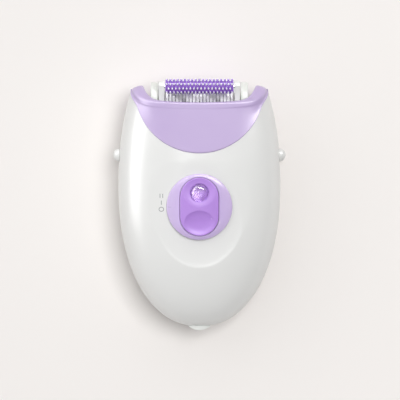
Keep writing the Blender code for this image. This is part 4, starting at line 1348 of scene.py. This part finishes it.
def printed(
    name: str,
    strokes: Sequence[tuple[Outline, bool]],
    width: float,
    rise: float,
    surface: Surface,
) -> bpy.types.Object:
    """Strokes of ink that lie on a surface.

    Args:
        name: The piece's name.
        strokes: Each stroke's path in X and Y, and whether it closes on itself.
        width: The strokes' width.
        rise: How far the ink stands over the surface.
        surface: The surface's height at a place.

    Returns:
        The piece.
    """
    bm = bmesh.new()
    for path, closed in strokes:
        rings = []
        for i, (x, y) in enumerate(path):
            before = path[i - 1] if closed or i else path[i]
            after = path[(i + 1) % len(path)] if closed or i + 1 < len(path) else path[i]
            along = Vector((after[0] - before[0], after[1] - before[1])).normalized()
            ring = []
            for side, lift in ((1, -rise), (1, rise), (-1, rise), (-1, -rise)):
                u, v = x - side * along.y * width / 2, y + side * along.x * width / 2
                ring.append((u, v, surface(u, v) + lift))
            rings.append(ring)
        add_loft(bm, rings, closed)
    return shaded(new_piece(name, bm))


@dataclass
class ThumbSlide:
    """The pale disc, the purple grip and the clear bead that the thumb moves."""

    y: float = -0.8 * MM
    level: float = 36.2 * MM
    gap: float = 0.3 * MM
    seam: float = 0.17 * MM
    disc_radius: float = 13.5 * MM
    disc_thickness: float = 1.2 * MM
    disc_dome: float = 0.85 * MM
    disc_edge: float = 0.5 * MM
    disc_lip: float = 0.18 * MM
    grip_half_width: float = 7.9 * MM
    grip_half_length: float = 11.9 * MM
    grip_rise: float = 3.1 * MM
    grip_crown: float = 0.7 * MM
    grip_edge: float = 0.45 * MM
    edge_share: float = 0.04
    thumb_y: float = -7.6 * MM
    thumb_half_width: float = 6.2 * MM
    thumb_half_length: float = 5.2 * MM
    thumb_depth: float = 1.4 * MM
    scoop_y: float = 6.2 * MM
    scoop_radius: float = 7.4 * MM
    scoop_depth: float = 1.2 * MM
    lens_y: float = 4.9 * MM
    lens_radius: float = 3.6 * MM
    lens_seat: float = 0.6 * MM
    lens_collar: float = 0.6 * MM
    lens_dome: float = 2.2 * MM
    lens_edge: float = 0.1 * MM
    columns: int = 180
    top_rings: int = 40
    index_x: tuple[float, float] = (-13.0 * MM, -11.6 * MM)
    index_y: float = -0.9 * MM
    index_width: float = 0.22 * MM
    index_rise: float = 0.015 * MM
    thumb_bow: float = 0.8
    thumb_blend: tuple[float, float] = (-0.8, 0.4)
    scoop_flat: float = 0.35
    seat_edge: float = 0.15 * MM
    seat_edge_angle: float = 55.0
    disc_smooth_angle: float = 45.0
    lip_steps: int = 4
    disc_steps: int = 10
    edge_steps: int = 6
    lens_steps: int = 24
    lens_columns: int = 96
    index_steps: int = 8

    def reach(self, angle: float, gap: float) -> float:
        """How far the grip's stadium outline lies from its centre.

        Args:
            angle: The direction, from +X.
            gap: How far outside the outline.

        Returns:
            The distance.
        """
        half_across, half_along = self.grip_half_width + gap, self.grip_half_length + gap
        straight = half_along - half_across
        side = half_across / max(abs(math.cos(angle)), 1e-9)
        if side * abs(math.sin(angle)) <= straight:
            return side
        along = straight * abs(math.sin(angle))
        return along + math.sqrt(along**2 - straight**2 + half_across**2)

    def place(self, angle: float, reach: float, height: float) -> Vector:
        """A point over the slide's floor.

        Args:
            angle: The direction from the slide's centre.
            reach: The distance from it.
            height: The height over the slide's underside.

        Returns:
            The point.
        """
        x, y = reach * math.cos(angle), self.y + reach * math.sin(angle)
        return Vector((x, y, EGG.slide_floor(x, y) + self.gap + height))

    def disc_top(self, inner: float, reach: float) -> float:
        """The disc's height between its opening and its rim."""
        share = (reach - inner) / (self.disc_radius - inner)
        return self.disc_thickness - self.disc_dome * share**2

    def disc(self) -> bpy.types.Object:
        """The domed disc round the grip."""
        loops = []
        for angle in turn(self.columns):
            inner = self.reach(angle, self.seam)
            edge = min(self.disc_edge, (self.disc_radius - inner) / 3)
            lip = self.disc_lip
            section = [(inner, 0.0)]
            for bend in quarter(self.lip_steps):
                height = self.disc_thickness - lip * (1 - math.sin(bend))
                section.append((inner + lip * (1 - math.cos(bend)), height))
            for share in steps(self.disc_steps)[1:]:
                reach = mix(inner + lip, self.disc_radius - edge, share)
                section.append((reach, self.disc_top(inner, reach)))
            rim = self.disc_top(inner, self.disc_radius - edge)
            for bend in quarter(self.edge_steps)[1:]:
                reach = self.disc_radius - edge * (1 - math.sin(bend))
                section.append((reach, rim - edge * (1 - math.cos(bend))))
            section.append((self.disc_radius - edge / 3, 0.0))
            loops.append([self.place(angle, reach, height) for reach, height in section])
        return shaded(lofted("slide_disc", loops, True), self.disc_smooth_angle)

    def grip_top(self, x: float, y: float, share: float) -> float:
        """The height of the grip's crowned top, with its thumb recess and its scoop.

        Args:
            x: The place across.
            y: The place along.
            share: How near the outline the place is, from 0 to 1.

        Returns:
            The height over the slide's underside.
        """
        along = (y - self.thumb_y) / self.thumb_half_length
        thumb = math.hypot(x / self.thumb_half_width, along)
        scoop = math.hypot(x, y - self.scoop_y) / self.scoop_radius
        height = self.grip_rise - self.grip_crown * share**2
        bowl = max(1 - thumb**2, 0.0)
        low_share = smoothstep(*self.thumb_blend, along)
        height -= self.thumb_depth * mix(smoothstep(0.0, 1.0, bowl), bowl**self.thumb_bow, low_share)
        return height - self.scoop_depth * (1 - smoothstep(self.scoop_flat, 1.0, scoop))

    def grip(self) -> bpy.types.Object:
        """The stadium-shaped grip with the bead's seat cut into it."""
        shares = [(1.0, None)]
        for bend in quarter(self.edge_steps)[:-1]:
            share = 1 - self.edge_share * (1 - math.cos(bend))
            shares.append((share, self.grip_edge * (1 - math.sin(bend))))
        shares += [((1 - self.edge_share) * (1 - share), 0.0) for share in steps(self.top_rings)[:-1]]
        rings = []
        for share, drop in shares:
            ring = []
            for angle in turn(self.columns):
                reach = self.reach(angle, 0.0) * share
                x, y = reach * math.cos(angle), self.y + reach * math.sin(angle)
                height = 0.0 if drop is None else self.grip_top(x, y, share) - drop
                ring.append(self.place(angle, reach, height))
            rings.append(ring)
        piece = shaded(lofted("slide_grip", rings))
        place = Matrix.Translation((0.0, self.lens_y, self.level))
        ends = (self.lens_seat, 3 * self.grip_rise)
        profile = [(self.lens_radius + self.gap, z) for z in ends]
        cut_away(piece, turned("seat_cutter", profile, place, self.lens_columns))
        return shaded(rounded(piece, self.seat_edge, 2, self.seat_edge_angle))

    def bead(self) -> bpy.types.Object:
        """The clear bead in the grip's scoop."""
        edge = self.lens_edge
        profile = domed(self.lens_radius, self.lens_collar, self.lens_dome, self.lens_steps)
        profile += [(self.lens_radius, edge), (self.lens_radius - edge, 0.0)]
        place = Matrix.Translation((0.0, self.lens_y, self.level + self.lens_seat + self.gap))
        return shaded(turned("slide_bead", profile, place, self.lens_columns))

    def index_line(self) -> bpy.types.Object:
        """The short pointer line on the disc's left edge."""

        def surface(x: float, y: float) -> float:
            """The height of the disc's top at a place."""
            reach = math.hypot(x, y - self.y)
            angle = math.atan2(y - self.y, x)
            return EGG.slide_floor(x, y) + self.gap + self.disc_top(self.reach(angle, self.seam), reach)

        path = [(mix(*self.index_x, share), self.index_y) for share in steps(self.index_steps)]
        return printed("slide_index", [(path, False)], self.index_width, self.index_rise, surface)

    def build(self) -> None:
        """Make the slide's pieces and put them on the switch."""
        installed(self.disc(), "switch", DISC_LILAC, "switch_knob")
        installed(self.grip(), "switch", GRIP_PURPLE, "switch_pod")
        installed(self.bead(), "switch", LENS_CLEAR, "switch_lens")
        installed(self.index_line(), "switch", INDEX_INK)
        coated(FRAME["nodes"]["switch_carriage"], GREY_MOULDING)


class SwitchMark(Enum):
    """The generic marks beside the slide, with the height of each on the housing."""

    FAST = 3.7 * MM
    SLOW = 0.9 * MM
    OFF = -1.8 * MM


@dataclass
class SwitchMarks:
    """The printed II, I and O beside the slide."""

    x: float = -15.6 * MM
    bar_length: float = 1.75 * MM
    bar_spread: float = 1.1 * MM
    ring_half_width: float = 0.95 * MM
    ring_half_length: float = 0.85 * MM
    stroke: float = 0.3 * MM
    rise: float = 0.012 * MM
    ring_steps: int = 40
    bar_steps: int = 8

    def strokes(self, mark: SwitchMark) -> list[tuple[Outline, bool]]:
        """The paths of one mark's strokes."""
        if mark is SwitchMark.OFF:
            ring = []
            for angle in turn(self.ring_steps):
                x = self.x + self.ring_half_width * math.cos(angle)
                ring.append((x, mark.value + self.ring_half_length * math.sin(angle)))
            return [(ring, True)]
        places = (-self.bar_spread / 2, self.bar_spread / 2) if mark is SwitchMark.FAST else (0.0,)
        ends = (mark.value - self.bar_length / 2, mark.value + self.bar_length / 2)
        heights = [mix(*ends, share) for share in steps(self.bar_steps)]
        return [([(self.x + place, y) for y in heights], False) for place in places]

    def build(self) -> None:
        """Print the marks and put them on the handle."""
        for mark in SwitchMark:
            name = f"mark_{mark.name.lower()}"
            piece = printed(name, self.strokes(mark), self.stroke, self.rise, EGG.front_z)
            installed(piece, "handle", MARK_INK)


# Handle internals


@dataclass
class LatchSprings:
    """The two leaf hooks, which bend inwards with the studs."""

    bend_y: tuple[float, float] = (15.2 * MM, 19.0 * MM)
    cuts: int = 12
    edge: float = 0.08 * MM

    def leaf(self, node: str) -> bpy.types.Object:
        """One leaf with soft edges, cut into short lengths where it bends.

        Args:
            node: The frame node that it stands for.

        Returns:
            The piece.
        """
        piece = softened(node, self.edge)
        bm = bmesh.new()
        bm.from_mesh(piece.data)
        for share in steps(self.cuts):
            place = (0.0, mix(*self.bend_y, share), 0.0)
            parts = bm.verts[:] + bm.edges[:] + bm.faces[:]
            bmesh.ops.bisect_plane(bm, geom=parts, plane_co=place, plane_no=(0.0, 1.0, 0.0))
        bm.to_mesh(piece.data)
        bm.free()
        return shaded(piece)

    def build(self) -> None:
        """Make both leaves, unattached to any body, and hide their frame nodes."""
        for side in Side:
            node = f"latch_spring_{side.word}"
            piece = coated(self.leaf(node), SPRING_STEEL)
            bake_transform(piece)
            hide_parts(node)
            LOG.info("%s bends between handle and release_%s", piece.name, side.word)


@dataclass
class Internals:
    """The pieces inside the handle, seen when the head is off."""

    finishes: dict[str, Finish] = field(
        default_factory=lambda: {
            "chassis": GREY_MOULDING,
            "motor_can": PIN_STEEL,
            "motor_end_cap": GREY_MOULDING,
            "circuit_board": BOARD_GREEN,
            "slide_switch": GREY_MOULDING,
            "drive_axle": PIN_STEEL,
            "chassis_screw_left": PIN_STEEL,
            "chassis_screw_right": PIN_STEEL,
        }
    )
    gear_edge: float = 0.08 * MM

    def build(self) -> None:
        """Dress the frame's own nodes, and give the gears soft edges."""
        for node, finish in self.finishes.items():
            coated(FRAME["nodes"][node], finish)
        installed(softened("drive_gear", self.gear_edge), "drive", NYLON, "drive_gear")
        installed(softened("motor_pinion", self.gear_edge), "motor_shaft", NYLON, "motor_pinion")


# Studio


@dataclass
class SoftBox:
    """One rectangular lamp that looks at a point."""

    name: str
    place: Point
    target: Point
    size: tuple[float, float]
    power: float
    diffuse: bool = True
    gloss: bool = True

    def build(self) -> None:
        """Hang the lamp."""
        lamp = bpy.data.lights.new(self.name, "AREA")
        lamp.shape = "RECTANGLE"
        lamp.size, lamp.size_y = self.size
        lamp.energy = self.power
        holder = bpy.data.objects.new(self.name, lamp)
        holder.location = self.place
        aim = Vector(self.target) - Vector(self.place)
        holder.rotation_euler = aim.to_track_quat("-Z", "Y").to_euler()
        holder.visible_diffuse = self.diffuse
        holder.visible_glossy = self.gloss
        bpy.context.scene.collection.objects.link(holder)


@dataclass
class Studio:
    """The pale floor, the lamps, the world and the camera."""

    floor_half: float = 3.0
    floor_colour: Colour = (0.905, 0.871, 0.847)
    floor_shade: float = 0.99
    floor_roughness: float = 0.9
    mottle_size: float = 60.0 * MM
    room_level: float = 0.44
    room_lean: Point = (-0.92, 0.72, 0.0)
    backdrop: float = 0.9
    lens: float = 150.0
    sensor: float = 36.0
    view_width: float = 168.0 * MM
    view_centre: Point = (0.25 * MM, 2.0 * MM, 18.0 * MM)
    lamps: list[SoftBox] = field(
        default_factory=lambda: [
            SoftBox("key", (0.46, 0.3, 2.0), (0.0, 0.0, 0.0), (0.95, 0.95), 25.5, gloss=False),
            SoftBox("left_strip", (-0.62, 0.4, 0.36), (0.0, 0.0, 0.03), (1.3, 0.42), 10.5, diffuse=False),
            SoftBox("head_strip", (0.25, 0.75, 0.75), (0.0, 0.04, 0.03), (1.0, 0.32), 14.0, diffuse=False),
            SoftBox("right_spot", (0.55, 0.38, 0.5), (0.0, 0.01, 0.03), (0.15, 0.15), 2.0, diffuse=False),
            SoftBox("top_panel", (-0.22, 0.28, 2.0), (0.0, 0.0, 0.0), (0.4, 0.34), 2.2, diffuse=False),
        ]
    )

    def floor(self) -> None:
        """Lay the floor, with a faint paper mottle."""
        bm = bmesh.new()
        half = self.floor_half
        corners = ((-half, -half, 0.0), (half, -half, 0.0), (half, half, 0.0), (-half, half, 0.0))
        bm.faces.new([bm.verts.new(corner) for corner in corners])
        plane = new_piece("floor", bm)
        shader = Shader("pale_floor")
        shade: Colour = tuple(self.floor_shade * value for value in self.floor_colour)
        paper = shader.blend(shader.noise(self.mottle_size), shade, self.floor_colour)
        finish = shader.close({"Base Color": paper, "Roughness": self.floor_roughness})
        plane.data.materials.append(finish)

    def world(self) -> None:
        """Fill the room with soft white light that is stronger from the upper left."""
        shader = Shader("room", world=True)
        way = shader.node("ShaderNodeTexCoord", output="Generated")
        ends = {0: way, 1: self.room_lean}
        lean = shader.node("ShaderNodeVectorMath", {"operation": "DOT_PRODUCT"}, ends, "Value")
        lit = shader.node("ShaderNodeMath", {"operation": "MAXIMUM"}, {0: 1 + lean, 1: 0.0})
        seen = shader.node("ShaderNodeLightPath", output="Is Camera Ray")
        light = self.room_level * lit
        strength = light + seen * (self.backdrop - light)
        bpy.context.scene.world = shader.close({"Color": (1.0, 1.0, 1.0, 1.0), "Strength": strength})

    def camera(self) -> None:
        """Look straight down on the front, with the head at the top of the picture."""
        optics = bpy.data.cameras.new("camera")
        optics.lens = self.lens
        optics.sensor_width = self.sensor
        optics.sensor_fit = "HORIZONTAL"
        holder = bpy.data.objects.new("camera", optics)
        distance = self.view_width * self.lens / self.sensor
        holder.location = Vector(self.view_centre) + Vector((0.0, 0.0, distance))
        bpy.context.scene.collection.objects.link(holder)
        bpy.context.scene.camera = holder

    def build(self) -> None:
        """Set the whole studio."""
        self.floor()
        self.world()
        for lamp in self.lamps:
            lamp.build()
        self.camera()
        bpy.context.scene.view_settings.view_transform = "Standard"


def main() -> None:
    """Build the studio and every sub-assembly."""
    logging.basicConfig(level=logging.INFO, format="%(message)s")
    Studio().build()
    assemblies = (
        Shells(),
        ReleaseStuds(),
        PowerInlet(),
        HeadCollar(),
        MassageRollers(),
        TweezerDrum(),
        HeadFrame(),
        ThumbSlide(),
        SwitchMarks(),
        LatchSprings(),
        Internals(),
    )
    for assembly in assemblies:
        assembly.build()


if __name__ == "__main__":
    main()
